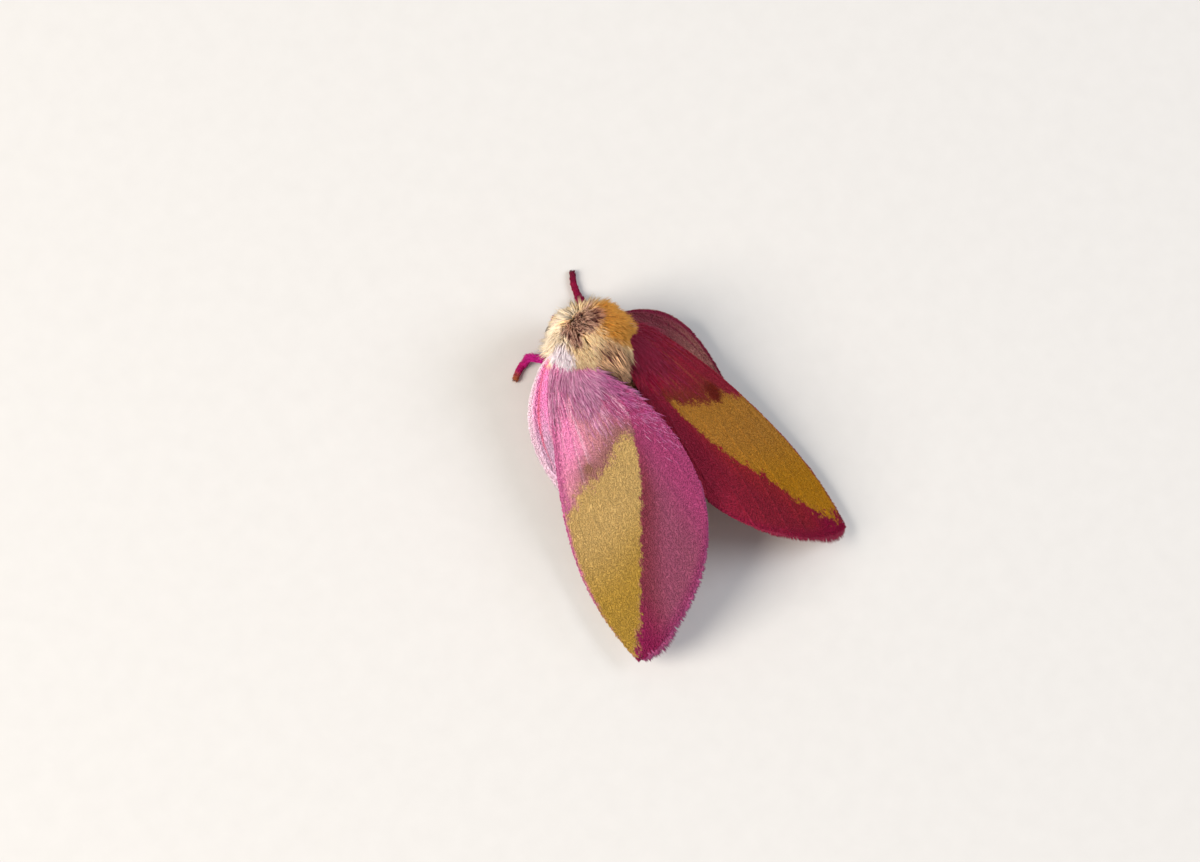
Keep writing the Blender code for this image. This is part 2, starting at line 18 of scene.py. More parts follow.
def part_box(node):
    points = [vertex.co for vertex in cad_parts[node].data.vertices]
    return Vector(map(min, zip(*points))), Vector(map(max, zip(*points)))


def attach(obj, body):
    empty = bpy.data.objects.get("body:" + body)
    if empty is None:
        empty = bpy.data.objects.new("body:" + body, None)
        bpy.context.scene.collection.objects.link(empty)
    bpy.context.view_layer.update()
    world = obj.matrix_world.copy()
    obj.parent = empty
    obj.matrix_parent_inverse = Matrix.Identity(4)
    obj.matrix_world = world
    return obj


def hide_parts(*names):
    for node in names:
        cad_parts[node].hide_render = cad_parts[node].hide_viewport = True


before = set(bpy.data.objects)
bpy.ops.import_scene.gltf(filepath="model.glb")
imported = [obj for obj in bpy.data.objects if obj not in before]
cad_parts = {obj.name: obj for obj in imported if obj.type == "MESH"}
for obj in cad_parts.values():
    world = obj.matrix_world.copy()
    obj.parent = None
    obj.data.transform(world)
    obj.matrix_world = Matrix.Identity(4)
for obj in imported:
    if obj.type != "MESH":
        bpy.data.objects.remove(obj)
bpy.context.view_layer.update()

# %% [markdown]
# ## Where the moth stands in the frame
# It is easier to think of a moth in millimetres, measured from a point between its wings, than
# in metres from the middle of a box. The two eyes are mirror images, so the middle between
# them is the moth's own middle line, and they say how far its frame was moved.

# %% From the moth's own millimetres to the frame's metres
MM = 0.001
LEFT, RIGHT = 1, -1
SIDES = ((LEFT, "left"), (RIGHT, "right"))
EYE_CENTRE, EYE_RADIUS = np.array([1.03, -2.1, 2.45]), 0.56  # the left eye in the moth's own mm
left_eye, right_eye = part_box("eye_left"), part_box("eye_right")
eyes_middle = (left_eye[1].x + right_eye[0].x) / 2 / MM
eyes_front = left_eye[0].y / MM
SHIFT = np.array([eyes_middle, eyes_front - (EYE_CENTRE[1] - EYE_RADIUS), 0.0])
print("the moth's own frame is moved by", SHIFT.round(3), "mm")


# %% [markdown]
# ## Helpers for big meshes
# A coat of thousands of tufts is too much for Blender's operators, so its points and faces are
# worked out as arrays and handed to the mesh in one go. Each point can also carry attributes,
# such as where it lies in the wing's pattern, which the materials read to paint the markings.

# %% Unit vectors and easing
def unit(vectors):
    """Rows of vectors at length one."""
    return vectors / np.maximum(np.linalg.norm(vectors, axis=-1, keepdims=True), 1e-12)


def eased(t):
    """0 up to t of 0, 1 from t of 1, and a smooth step between."""
    t = np.clip(t, 0.0, 1.0)
    return t * t * (3 - 2 * t)


# %% A piece from arrays
def add_piece(name, points, faces, material, nodes=(), attributes=None, patch=None):
    """A piece of the moth from points in its own mm and arrays of faces of 3 or 4 corners."""
    mesh = bpy.data.meshes.new(name)
    corners = np.concatenate([kind.ravel() for kind in faces])
    sizes = np.concatenate([np.full(len(kind), kind.shape[1]) for kind in faces])
    mesh.vertices.add(len(points))
    mesh.vertices.foreach_set("co", ((points + SHIFT) * MM).astype(np.float32).ravel())
    mesh.loops.add(len(corners))
    mesh.loops.foreach_set("vertex_index", corners.astype(np.int32))
    mesh.polygons.add(len(sizes))
    mesh.polygons.foreach_set("loop_start", (np.cumsum(sizes) - sizes).astype(np.int32))
    mesh.polygons.foreach_set("use_smooth", np.ones(len(sizes), bool))
    mesh.update(calc_edges=True)
    for key, values in (attributes or {}).items():
        vector = np.ndim(values) == 2
        made = mesh.attributes.new(key, "FLOAT_VECTOR" if vector else "FLOAT", "POINT")
        made.data.foreach_set("vector" if vector else "value", np.asarray(values, np.float32).ravel())
    if patch is not None:
        layer = mesh.uv_layers.new(name="OFBake")
        layer.data.foreach_set("uv", patch[corners].astype(np.float32).ravel())
    mesh.materials.append(material)
    piece = bpy.data.objects.new(name, mesh)
    bpy.context.scene.collection.objects.link(piece)
    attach(piece, "root")
    if nodes:
        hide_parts(*nodes)
    print(f"{name}: {len(points)} points, {int((sizes - 2).sum())} triangles")


# %% [markdown]
# ## Tufts
# One tuft stands for a few hairs or one long scale. It is a thin spike with three sides,
# closed at the root and the tip, ten triangles in all, that leaves the skin, bends over and
# lies along it. Hair particles would be quicker, but only mesh can be exported.
# For baking, each tuft also gets a small patch of the texture at its root's own place.

# %% Tufts as arrays
PATCH = 0.003  # side of a tuft's patch in the texture, as a share of it
PATCH_START, PATCH_AREA = 0.02, 0.95  # the patches stay off the texture's edges
PATCH_PLACES = ((0, 0), (0.5, 0), (0.25, 0.2), (0, 0.6), (0.5, 0.6), (0.25, 0.8), (0.3, 1.0))
RING = ((-0.5, 0.0), (0.5, 0.0), (0.0, 1.0))  # a tuft's cross-section: sideways and up
RINGS = ((0.0, 0.8), (0.5, 1.0))  # the share along a tuft where each ring lies, and how wide it is
TUFT_POINTS = len(RING) * len(RINGS) + 1
TUFT_SIDES = ((0, 1, 4, 3), (1, 2, 5, 4), (2, 0, 3, 5))
TUFT_ENDS = ((0, 2, 1), (3, 4, 6), (4, 5, 6), (5, 3, 6))


def tufts(roots, ways, outs, lengths, widths, bend, depth=0.5, pull=None):
    """Points, faces and shares of the way to the tip of one closed spike for each root."""
    ways = unit(ways)
    across = unit(np.cross(outs, ways))
    ups = np.cross(ways, across)
    rows, shares = [], []
    for share, width in RINGS:
        sunk = outs * (lengths * bend * share**2)[:, None]
        middle = roots + ways * (lengths * share)[:, None] - sunk
        if pull is not None:
            middle = middle + pull * share**2
        for sideways, up in RING:
            thick = width * widths
            rows.append(middle + across * (sideways * thick)[:, None] + ups * (up * depth * thick)[:, None])
            shares.append(share)
    tip = roots + ways * lengths[:, None] - outs * (lengths * bend)[:, None]
    rows.append(tip if pull is None else tip + pull)
    shares.append(1.0)
    points = np.stack(rows, 1).reshape(-1, 3)
    base = (TUFT_POINTS * np.arange(len(roots)))[:, None, None]
    faces = [(np.array(kind)[None] + base).reshape(-1, len(kind[0])) for kind in (TUFT_SIDES, TUFT_ENDS)]
    return points, faces, np.tile(shares, len(roots))


def patches(places, count):
    """The texture patch of each tuft's points, at its root's place from 0 to 1."""
    within = np.tile(PATCH_PLACES[:count], (len(places), 1))
    return PATCH_START + PATCH_AREA * np.repeat(places, count, 0) + PATCH * within


# %% [markdown]
# ## One function for nodes
# Materials here are small programs of nodes. A single function adds any node, fills its
# sockets with values or links, and gives back an output, so that a chain of nodes reads like
# a calculation. Colours are noted as the hex values that a screen shows, and turned to the
# linear light that shaders work in.

# %% Nodes and colours
def add_node(tree, kind, sockets=None, out=0, **settings):
    """Adds a node, sets or links its sockets, and returns one output, or the node where out is None."""
    made = tree.nodes.new(kind)
    for key, value in settings.items():
        setattr(made, key, value)
    for key, value in (sockets or {}).items():
        if isinstance(value, bpy.types.NodeSocket):
            tree.links.new(value, made.inputs[key])
        else:
            made.inputs[key].default_value = value
    return made if out is None else made.outputs[out]


def linear(hex_colour):
    """An sRGB hex colour as linear red, green, blue and a full alpha."""
    channels = [int(hex_colour[k : k + 2], 16) / 255 for k in (1, 3, 5)]
    light = [c / 12.92 if c <= 0.04045 else ((c + 0.055) / 1.055) ** 2.4 for c in channels]
    return (*light, 1.0)


def new_material(name):
    """A material with an empty node tree."""
    made = bpy.data.materials.new(name)
    made.use_nodes = True
    made.node_tree.nodes.clear()
    return made, made.node_tree


# %% [markdown]
# ## The wings
# A forewing is a membrane thinner than paper, stiffened by veins that fan out from its root.
# At rest the two fold back over the body like a low roof. Their shape is worked out on a flat
# plan first: "along" runs from the root to the outer margin and "across" from the front edge
# to the rear one. The plan is then arched, and turned by three angles into its place. The
# solid wings were made from the same sizes, so the fine membrane fits inside them.

# %% Sizes of the wings, in mm and degrees
WING_LENGTH = 20.0
TORNUS = np.array([10.84, 7.74])
OUTER_EDGE_BOW, REAR_EDGE_BOW = 1.42, 1.52
TIP_ROUNDING, TORNUS_ROUNDING = 0.3, 0.8
WING_ARCH, ARCH_MIDDLE, ARCH_HALF_WIDTH = 1.02, 3.0, 5.0
HIND_TORNUS = np.array([11.4, 5.7])
HIND_ROOT, HIND_ROOT_WIDTH = np.array([-1.15, 0.69]), 1.7
HIND_OUTER_BOW, HIND_REAR_BOW = 1.1, 0.3
HIND_UNDER, LOBE_START, LOBE_LIFT = 0.80, 1.2, 0.4
WING_HOLD = {
    LEFT: {
        "sweep": 12.6, "droop": 9.6, "roof": 33.6, "root": (3.30, -0.16, 4.63),
        "peak": 0.595, "bow": 2.10, "breadth": 1.0, "root_width": 1.75,
        "hind_tip": (11.8, 0.33), "lobe": 3.08, "lobe_peak": 0.42,
    },
    RIGHT: {
        "sweep": 16.8, "droop": 10.5, "roof": 28.4, "root": (3.20, -0.31, 4.28),
        "peak": 0.541, "bow": 2.28, "breadth": 0.93, "root_width": 2.3,
        "hind_tip": (12.0, 0.85), "lobe": 4.30, "lobe_peak": 0.40,
    },
}


# %% The flat plan of a wing
def ray_points(along, root, end, front_bow, rear_bow, peak, across):
    """Points on the rays that fan out over a wing, from its root to its outer margin."""
    run = end - root
    side = unit(np.stack([-run[..., 1], run[..., 0]], -1))
    hump = np.sin(math.pi * np.maximum(along, 1e-9) ** (math.log(0.5) / math.log(peak)))
    front_share, rear_share = np.maximum(1 - across, 0.0) ** 1.5, np.maximum(across, 0.0) ** 1.5
    bow = -front_bow * front_share * hump + rear_bow * rear_share * 4 * along * (1 - along)
    return root + run * along[..., None] + side * bow[..., None]


def margin_points(across, tip, tornus, bow, tip_rounding, tornus_rounding, root):
    """Where the rays end on the outer margin."""
    run = tornus - tip
    out = unit(np.array([-run[1], run[0]]))
    out = out if out[0] > 0 else -out
    end = tip + run * across[..., None] + out * (bow * 4 * across * (1 - across))[..., None]
    short = tip_rounding * np.maximum(0.0, 1 - across / 0.22) ** 2
    short = short + tornus_rounding * np.maximum(0.0, 1 - (1 - across) / 0.25) ** 2
    return end - unit(end - root) * short[..., None]


def wing_plan(side, kind, along, across):
    """The flat shape of a forewing or hindwing, in mm from its root."""
    hold = WING_HOLD[side]
    if kind == "fore":
        across = across * (1 - (1 - hold["breadth"]) * eased(along / 0.5))
        root = np.stack([0.25 * across, hold["root_width"] * across], -1)
        tip, tornus, outer = np.array([WING_LENGTH, 0.0]), TORNUS, OUTER_EDGE_BOW
        front, rear, peak, rounding = hold["bow"], REAR_EDGE_BOW, hold["peak"], TIP_ROUNDING
        hinge, turn = np.stack([-0.5 + 0.7 * across, 1.2 + 1.1 * across], -1), 0.08
    else:
        root = HIND_ROOT + np.stack([0.3 * across, HIND_ROOT_WIDTH * across], -1)
        tip, tornus, outer = np.array(hold["hind_tip"]), HIND_TORNUS, HIND_OUTER_BOW
        front, rear, peak, rounding = hold["lobe"], HIND_REAR_BOW, hold["lobe_peak"], 0.0
        hinge, turn = np.stack([-0.9 + 0.5 * across, 1.2 + 1.1 * across], -1), 0.09
    end = margin_points(across, tip, tornus, outer, rounding, TORNUS_ROUNDING, root)
    spot = ray_points(along, root, end, front, rear, peak, across)
    share = eased(along / turn)[..., None]
    return hinge * (1 - share) + spot * share


# %% The plan arched and turned into its place
def wing_axes(side):
    """Directions along, across and out of the roof of one side's wings, for the left side."""
    hold = WING_HOLD[side]
    sweep, droop, roof = (math.radians(hold[key]) for key in ("sweep", "droop", "roof"))
    along = np.array([math.sin(sweep) * math.cos(droop), math.cos(sweep) * math.cos(droop), -math.sin(droop)])
    inward = np.array([-math.cos(sweep), math.sin(sweep), 0.0])
    upward = np.cross(inward, along)
    upward = upward if upward[2] > 0 else -upward
    across = inward * math.cos(roof) + upward * math.sin(roof)
    out = np.cross(along, across)
    return along, across, out if out[2] > 0 else -out


def on_wing(side, kind, along, across):
    """Points of a wing's middle surface in the moth's frame, and their places on the flat plan."""
    run, breadth, out = wing_axes(side)
    spot = wing_plan(side, kind, along, across)
    x, y = spot[..., 0], spot[..., 1]
    lengthwise = np.sin(math.pi * np.clip(x / (1.03 * WING_LENGTH), 0.0, 1.0) ** 0.8)
    height = WING_ARCH * (1 - ((y - ARCH_MIDDLE) / ARCH_HALF_WIDTH) ** 2) * lengthwise
    if kind == "hind":
        height = height + LOBE_LIFT * np.maximum(0.0, -y - LOBE_START) - HIND_UNDER
    place = np.array(WING_HOLD[side]["root"]) + x[..., None] * run + y[..., None] * breadth
    place = place + height[..., None] * out
    return place * np.array([side, 1.0, 1.0]), spot


def wing_directions(side, kind, along, across):
    """Unit directions along the ray, across the wing and out of its upper face."""
    step = 0.004
    a, b = (on_wing(side, kind, along + s, across)[0] for s in (step, -step))
    c, d = (on_wing(side, kind, along, across + s)[0] for s in (step, -step))
    ray, breadth = unit(a - b), unit(c - d)
    out = unit(np.cross(ray, breadth))
    return ray, breadth, out * np.where(out[..., 2:] < 0, -1.0, 1.0)


# %% [markdown]
# ## Markings
# Each forewing is rose pink with a yellow band across its middle, which runs out to the front
# edge near the tip. Two lines bound the band: the inner line towards the root and the outer
# line towards the margin. We note a few spots that each line passes through, as shares along
# and across the wing, and store for every point how far it is past each line, in mm. The
# material turns those distances into colour, with an edge as ragged as rows of scales are.

# %% Where the marking lines cross the wing
OUTER_LINE = {  # across the wing, and the share along it where the outer line passes
    LEFT: ((0.00, 0.965), (0.14, 0.888), (0.35, 0.748), (0.51, 0.635), (0.64, 0.547), (0.74, 0.45),
           (0.84, 0.37), (0.90, 0.24), (1.0, 0.12)),
    RIGHT: ((0.0, 0.925), (0.08, 0.925), (0.21, 0.887), (0.31, 0.823), (0.41, 0.735), (0.54, 0.672),
            (0.64, 0.588), (0.73, 0.49), (0.79, 0.36), (1.0, 0.25)),
}
INNER_LINE = {
    LEFT: ((0.04, 0.455), (0.12, 0.44), (0.18, 0.417), (0.28, 0.415), (0.40, 0.422), (0.55, 0.395),
           (0.67, 0.385), (0.79, 0.45), (1.0, 0.60)),
    RIGHT: ((0.01, 0.448), (0.12, 0.41), (0.22, 0.372), (0.35, 0.403), (0.47, 0.398), (0.77, 0.375),
            (1.0, 0.50)),
}
COSTA_LINE = {
    LEFT: ((0.40, 0.035), (0.49, 0.022), (0.625, 0.016), (0.753, 0.010), (0.885, -0.005)),
    RIGHT: ((0.35, 0.05), (0.45, 0.016), (1.0, 0.008)),
}
OUTER_SLOPE, INNER_SLOPE, ACROSS_WIDTH = 8.0, 15.0, 7.5  # mm on the wing for a share of 1
WING_APART = 3.0  # a third number for places, so that no pattern is the same on both wings


def pattern_of(side, along, across, spot, chance=None):
    """The attributes that the wing's material reads, for points at these places."""
    along, across = np.ravel(along), np.ravel(across)
    lines = []
    for table, reads, value, slope in (
        (OUTER_LINE, across, along, OUTER_SLOPE),
        (INNER_LINE, across, along, INNER_SLOPE),
        (COSTA_LINE, along, across, ACROSS_WIDTH),
    ):
        at, line = zip(*table[side])
        lines.append((value - np.interp(reads, at, line)) * slope)
    tint = np.full(len(along), 0.5) if chance is None else chance.random(len(along))
    place = np.concatenate([spot.reshape(-1, 2), np.full((len(along), 1), WING_APART * side)], 1)
    return {"place": place, "lines": np.stack(lines, 1), "shares": np.stack([along, across, tint], 1)}


# %% [markdown]
# ## The wing membrane
# The skin of each wing is a fine grid with an upper and a lower face 0.12 mm apart, closed
# round its edge, with the veins raised as low ridges. It could be a subdivided sheet with a
# Solidify modifier, but setting the points in code lets each ridge follow its own ray.

# %% Veins and membranes
MEMBRANE = 0.12
VEINS = {  # share across the wing, and where along it each vein begins
    "fore": ((0.03, 0.0), (0.10, 0.0), (0.22, 0.0), (0.36, 0.46), (0.49, 0.48), (0.62, 0.46),
             (0.74, 0.0), (0.88, 0.0)),
    "hind": ((0.05, 0.0), (0.18, 0.0), (0.38, 0.42), (0.58, 0.42), (0.78, 0.0)),
}
VEIN_HEIGHT = {"fore": 0.08, "hind": 0.10}
VEIN_SPREAD = 0.011
FRINGE_START = {"fore": 0.978, "hind": 0.97}  # the membrane stops here, and the fringe reaches on


def relief(kind, along, across):
    """How far the upper face stands out at the veins, in mm."""
    height = np.zeros(np.shape(along))
    for place, start in VEINS[kind]:
        begun = eased((along - start) / 0.08 + 0.5) if start else 1.0
        height = height + np.exp(-(((across - place) / VEIN_SPREAD) ** 2)) * begun
    return VEIN_HEIGHT[kind] * height * (1 - 0.5 * along)


def make_membrane(side, word, kind, material, rows, columns):
    """The skin of one wing as a closed grid."""
    chance = np.random.default_rng(11 + side + len(kind))
    breadth = np.linspace(0, 1, columns)
    along, across = np.meshgrid(np.linspace(0, 1, rows) ** 1.1, breadth, indexing="ij")
    every_other = np.arange(0, columns, 2)
    ragged = 0.006 * np.interp(np.arange(columns), every_other, chance.random(len(every_other)))
    rounded = 0.014 * np.exp(-((breadth / 0.035) ** 2))
    along = along * (FRINGE_START[kind] - ragged - rounded)
    middle, spot = on_wing(side, kind, along, across)
    out = wing_directions(side, kind, along, across)[2]
    edge = np.minimum(eased(across / 0.02), eased((1 - across) / 0.02)) * 0.5 + 0.5
    upper = middle + out * (edge * MEMBRANE / 2 + relief(kind, along, across))[..., None]
    lower = middle - out * (edge * MEMBRANE / 2)[..., None]
    count = rows * columns
    index = np.arange(count).reshape(rows, columns)
    quads = np.stack([index[:-1, :-1], index[1:, :-1], index[1:, 1:], index[:-1, 1:]], -1).reshape(-1, 4)
    rim = np.concatenate([index[:, 0], index[-1, 1:], index[-2::-1, -1], index[0, -2:0:-1]])
    after = np.roll(rim, -1)
    walls = np.stack([rim, rim + count, after + count, after], -1)
    faces = [quads, quads[:, ::-1] + count, walls]
    if side == RIGHT:
        faces = [group[:, ::-1] for group in faces]
    attributes = pattern_of(side, along, across, spot)
    attributes = {key: np.concatenate([value, value]) for key, value in attributes.items()}
    points = np.concatenate([upper.reshape(-1, 3), lower.reshape(-1, 3)])
    node = f"{kind}wing_{word}"
    add_piece(f"{node}_membrane", points, faces, material, [node], attributes)


# %% [markdown]
# ## The wing material
# Wing scales are tiny plates of chitin, 0.1 to 0.2 mm long, laid like roof tiles. They scatter
# light softly, so the surface is rough with a little sheen, and no two have quite the same
# tone. Chitin bends light like horn, with an IOR of about 1.56. The colour is a stack: a
# start colour, then layers, each with a mask made from the distances stored in the mesh.

# %% Colours and masks of the wing scales
CHITIN_IOR = 1.56
RAGGED_EDGE = 0.34  # mm that the marking lines wander, by rows of scales
SPOT = {LEFT: (6.9, 0.9), RIGHT: (7.0, 0.4)}  # the dark spot on the inner line, on the plan in mm
SPOT_SIZE = {LEFT: 0.35, RIGHT: 0.75}
SCALE_GRAIN = 0.07  # mm; real grain is finer, drawn at a size that the render can show
SCALE_ROWS, CLOUDS = 0.45, 2.2  # mm across the wander of the lines, and across soft clouds of tone
TILE_LENGTH, TILE_WIDTH = 0.16, 0.09  # mm; the scales that the bump shows between the real ones
FAN = (1.6, 24.0, 0.0)  # streaks along the rays: few along the wing, many across it
# The left side's colours are painted paler, as painted light and sheen; the right's deeper, as painted shade.
WING_COLOURS = {
    LEFT: {
        "base": "#d5929b", "base_front": "#f598c6", "base_rear": "#b95a86", "streak": "#efb8cf",
        "painted_furrow_shade": "#b84e98", "costa": "#cf70a0", "dusk": "#a26c6a", "band": "#c6a668",
        "band_tip": "#b49038", "near_line": "#863645", "outer": "#9a4e6a", "outer_rear": "#a84272",
        "tip": "#8c184e", "margin": "#9c3c6c", "spot": "#a07060",
    },
    RIGHT: {
        "base": "#a02438", "base_front": "#a22038", "base_rear": "#a80c3c", "streak": "#b04840",
        "painted_furrow_shade": "#881238", "costa": "#a32238", "dusk": "#8c3524", "band": "#c48832",
        "band_tip": "#c88b12", "near_line": "#a6262f", "outer": "#971f34", "outer_rear": "#a0203c",
        "tip": "#95063a", "margin": "#98123c", "spot": "#781e0c",
    },
}
WING_LAYERS = (  # a colour, and the masks that are multiplied to say where it lies over those before
    ("base_front", "front", "near_root"),
    ("base_rear", "rear"),
    ("streak", "pale_streak", "before_inner"),
    # Painted shade: darker streaks along the rays near the root, in the furrows between the veins.
    ("painted_furrow_shade", "dark_streak", "before_inner", "at_root"),
    ("dusk", "by_inner", "behind_costa"),
    ("costa", "at_costa"),
    ("near_line", "past_outer"),
    ("outer", "far_past_outer", "past_outer"),
    ("outer_rear", "rear_half", "past_outer"),
    ("margin", "at_margin", "past_outer"),
    ("tip", "front_third", "past_outer"),
    ("band", "past_inner", "past_costa", "before_outer"),
    ("band_tip", "past_inner", "past_costa", "before_outer", "towards_tip"),
    ("spot", "in_spot"),
)


def wing_material(side, word):
    """Rose and yellow wing scales, for both the membrane and the coat of scales on it."""
    colours = WING_COLOURS[side]
    made, tree = new_material(f"wing_scales_{word}")
    place, lines, shares = (add_node(tree, "ShaderNodeAttribute", attribute_name=key, out=1)
                            for key in ("place", "lines", "shares"))
    outer, inner, costa = add_node(tree, "ShaderNodeSeparateXYZ", {0: lines}, out=None).outputs
    along, across, tint = add_node(tree, "ShaderNodeSeparateXYZ", {0: shares}, out=None).outputs
    cloud = add_node(tree, "ShaderNodeTexNoise", {"Vector": place, "Scale": 1 / CLOUDS, "Detail": 3.0})
    grain = add_node(tree, "ShaderNodeTexNoise", {
        "Vector": place, "Scale": 1 / SCALE_GRAIN, "Detail": 2.0, "Roughness": 0.8})
    wander = add_node(tree, "ShaderNodeTexNoise", {
        "Vector": place, "Scale": 1 / SCALE_ROWS, "Detail": 4.0, "Roughness": 0.7})
    wander = add_node(tree, "ShaderNodeMath", {0: grain, 1: 0.8, 2: wander}, operation="MULTIPLY_ADD")
    wander = add_node(tree, "ShaderNodeMath", {0: wander, 1: -0.9}, operation="ADD")
    fan = add_node(tree, "ShaderNodeVectorMath", {0: shares, 1: FAN}, operation="MULTIPLY")
    streak = add_node(tree, "ShaderNodeTexNoise", {
        "Vector": fan, "Scale": 1.0, "Detail": 3.0, "Roughness": 0.6})
    from_spot = add_node(tree, "ShaderNodeVectorMath", {0: place, 1: (*SPOT[side], WING_APART * side)}, out=1,
                         operation="DISTANCE")
    ragged = RAGGED_EDGE * (1.0 if side == LEFT else 1.8)
    ranges = {  # a value, where its mask is 0, where it is 1, and how far the noise moves its edge
        "front": (across, 0.46, 0.20, 0.1),
        "front_third": (across, 0.34, 0.10, 0.0),
        "at_costa": (across, 0.11, 0.03, 0.08),
        "behind_costa": (across, 0.08, 0.3, 0.0),
        "rear": (across, 0.50, 0.80, 0.0),
        "rear_half": (across, 0.60, 0.86, 0.0),
        "at_root": (along, 0.42, 0.10, 0.0),
        "near_root": (along, 0.46, 0.26, 0.0),
        "towards_tip": (along, 0.55, 0.8, 0.0),
        "at_margin": (along, 0.93, 0.985, 0.0),
        "pale_streak": (streak, 0.52, 0.66, 0.0),
        "dark_streak": (streak, 0.47, 0.33, 0.0),
        "before_inner": (inner, 1.0, 0.0, 0.0),
        "by_inner": (inner, -1.9, -0.2, RAGGED_EDGE * 2),
        "past_inner": (inner, -0.30, 0.35, RAGGED_EDGE * 3.2),
        "past_costa": (costa, -0.10, 0.14, RAGGED_EDGE * 0.7),
        "before_outer": (outer, 0.09, -0.07, ragged),
        "past_outer": (outer, -0.07, 0.09, ragged),
        "far_past_outer": (outer, 0.1, 1.6, 0.0),
        "in_spot": (from_spot, SPOT_SIZE[side] * 1.3, SPOT_SIZE[side] * 0.5, 0.25),
    }
    masks = {}
    for key, (value, low, high, wobble) in ranges.items():
        if wobble:
            moved = {0: wander, 1: wobble * 2.0, 2: value}
            value = add_node(tree, "ShaderNodeMath", moved, operation="MULTIPLY_ADD")
        masks[key] = add_node(tree, "ShaderNodeMapRange", {"Value": value, "From Min": low, "From Max": high},
                              interpolation_type="SMOOTHSTEP")
    colour = linear(colours["base"])
    for key, first, *others in WING_LAYERS:
        mask = masks[first]
        for other in others:
            mask = add_node(tree, "ShaderNodeMath", {0: mask, 1: masks[other]}, operation="MULTIPLY")
        layer = {0: mask, 6: colour, 7: linear(colours[key])}
        colour = add_node(tree, "ShaderNodeMix", layer, out=2, data_type="RGBA")
    tone = 0.40
    for value, weight in ((grain, 0.75), (tint, 0.30), (cloud, 0.16)):
        tone = add_node(tree, "ShaderNodeMath", {0: value, 1: weight, 2: tone}, operation="MULTIPLY_ADD")
    colour = add_node(tree, "ShaderNodeVectorMath", {0: colour, 3: tone}, operation="SCALE")
    tile_shares = (1 / TILE_LENGTH, 1 / TILE_WIDTH, 1.0)
    tiles = add_node(tree, "ShaderNodeVectorMath", {0: place, 1: tile_shares}, operation="MULTIPLY")
    plates = add_node(tree, "ShaderNodeTexVoronoi", {"Vector": tiles, "Scale": 1.0})
    bump = add_node(tree, "ShaderNodeBump", {"Height": plates, "Strength": 0.5, "Distance": 0.03 * MM})
    rough = add_node(tree, "ShaderNodeMapRange", {"Value": grain, "To Min": 0.55, "To Max": 0.8})
    shader = add_node(tree, "ShaderNodeBsdfPrincipled", {
        "Base Color": colour, "Roughness": rough, "IOR": CHITIN_IOR, "Specular IOR Level": 0.15,
        "Normal": bump, "Sheen Weight": 0.06, "Sheen Roughness": 0.4, "Sheen Tint": linear("#e87ab0"),
    })
    add_node(tree, "ShaderNodeOutputMaterial", {"Surface": shader}, out=None)
    return made


WING_MATERIALS = {side: wing_material(side, word) for side, word in SIDES}
for side, word in SIDES:
    make_membrane(side, word, "fore", WING_MATERIALS[side], 200, 121)

# %% [markdown]
# ## The coat of scales
# Bump alone leaves a wing looking like painted card. So its upper face also carries a coat of
# scales of mesh, each a flat closed plate of six triangles, raised a little at its tip as roof
# tiles are. Real ones are 0.1 to 0.2 mm long, and these are 0.14 to 0.25 mm, so that they
# show. They are scattered evenly by area, and each takes the marking of its own place.

# %% Scattering roots over a wing
def scattered(side, kind, number, chance, keep=None):
    """Shares along and across a wing for roots spread evenly over its area, or as keep says."""
    found = np.zeros((0, 2))
    while len(found) < number:
        tries = chance.random((number * 2, 2))
        along, across = tries[:, 0] * FRINGE_START[kind], tries[:, 1]
        step = 0.01
        corner = on_wing(side, kind, along, across)[0]
        area = np.linalg.norm(
            np.cross(on_wing(side, kind, along + step, across)[0] - corner,
                     on_wing(side, kind, along, across + step)[0] - corner), axis=-1)
        wanted = area / np.percentile(area, 98)
        if keep is not None:
            wanted = wanted * keep(along, across)
        chosen = chance.random(len(along)) < wanted
        found = np.concatenate([found, np.stack([along, across], 1)[chosen]])
    return found[:number, 0], found[:number, 1]


def surface_under(side, kind, along, across):
    """Roots on the upper face, their directions, and their places on the plan."""
    middle, spot = on_wing(side, kind, along, across)
    ray, breadth, out = wing_directions(side, kind, along, across)
    return middle + out * (MEMBRANE / 2 + relief(kind, along, across))[:, None], ray, breadth, out, spot


# %% Flat scales on the upper face
SCALE_LENGTH, SCALE_WIDTH, SCALE_LIFT = 0.19, 0.085, 0.16
PLATE_CORNERS = ((-0.1, 0.0, -0.02), (0.5, 0.5, 0.0), (0.5, -0.5, 0.0), (1.0, 0.0, 0.0), (0.5, 0.0, 0.03))
PLATE_FACES = ((0, 1, 4), (1, 3, 4), (3, 2, 4), (2, 0, 4), (0, 2, 1), (1, 2, 3))


def make_scales(side, word, kind, material, number, keep=None):
    """The coat of flat scales on one wing."""
    chance = np.random.default_rng(101 + side + 10 * len(kind))
    along, across = scattered(side, kind, number, chance, keep)
    roots, ray, breadth, out, spot = surface_under(side, kind, along, across)
    turn = chance.normal(0, 0.16, number)[:, None]
    way = unit(ray + breadth * turn + out * (SCALE_LIFT * chance.uniform(0.4, 1.4, number))[:, None])
    wide = unit(np.cross(out, way))
    up = np.cross(way, wide)
    long = (SCALE_LENGTH * chance.uniform(0.75, 1.3, number))[:, None]
    points = [roots + way * (x * long) + wide * (y * SCALE_WIDTH) + up * z for x, y, z in PLATE_CORNERS]
    points = np.stack(points, 1).reshape(-1, 3)
    count = len(PLATE_CORNERS)
    faces = (np.array(PLATE_FACES)[None] + count * np.arange(number)[:, None, None]).reshape(-1, 3)
    attributes = pattern_of(side, along, across, spot, chance)
    attributes = {key: np.repeat(value, count, 0) for key, value in attributes.items()}
    node = f"{kind}wing_{word}"
    patch = patches(np.stack([along, across], 1), count)
    add_piece(f"{node}_scales", points, [faces], material, [node], attributes, patch)


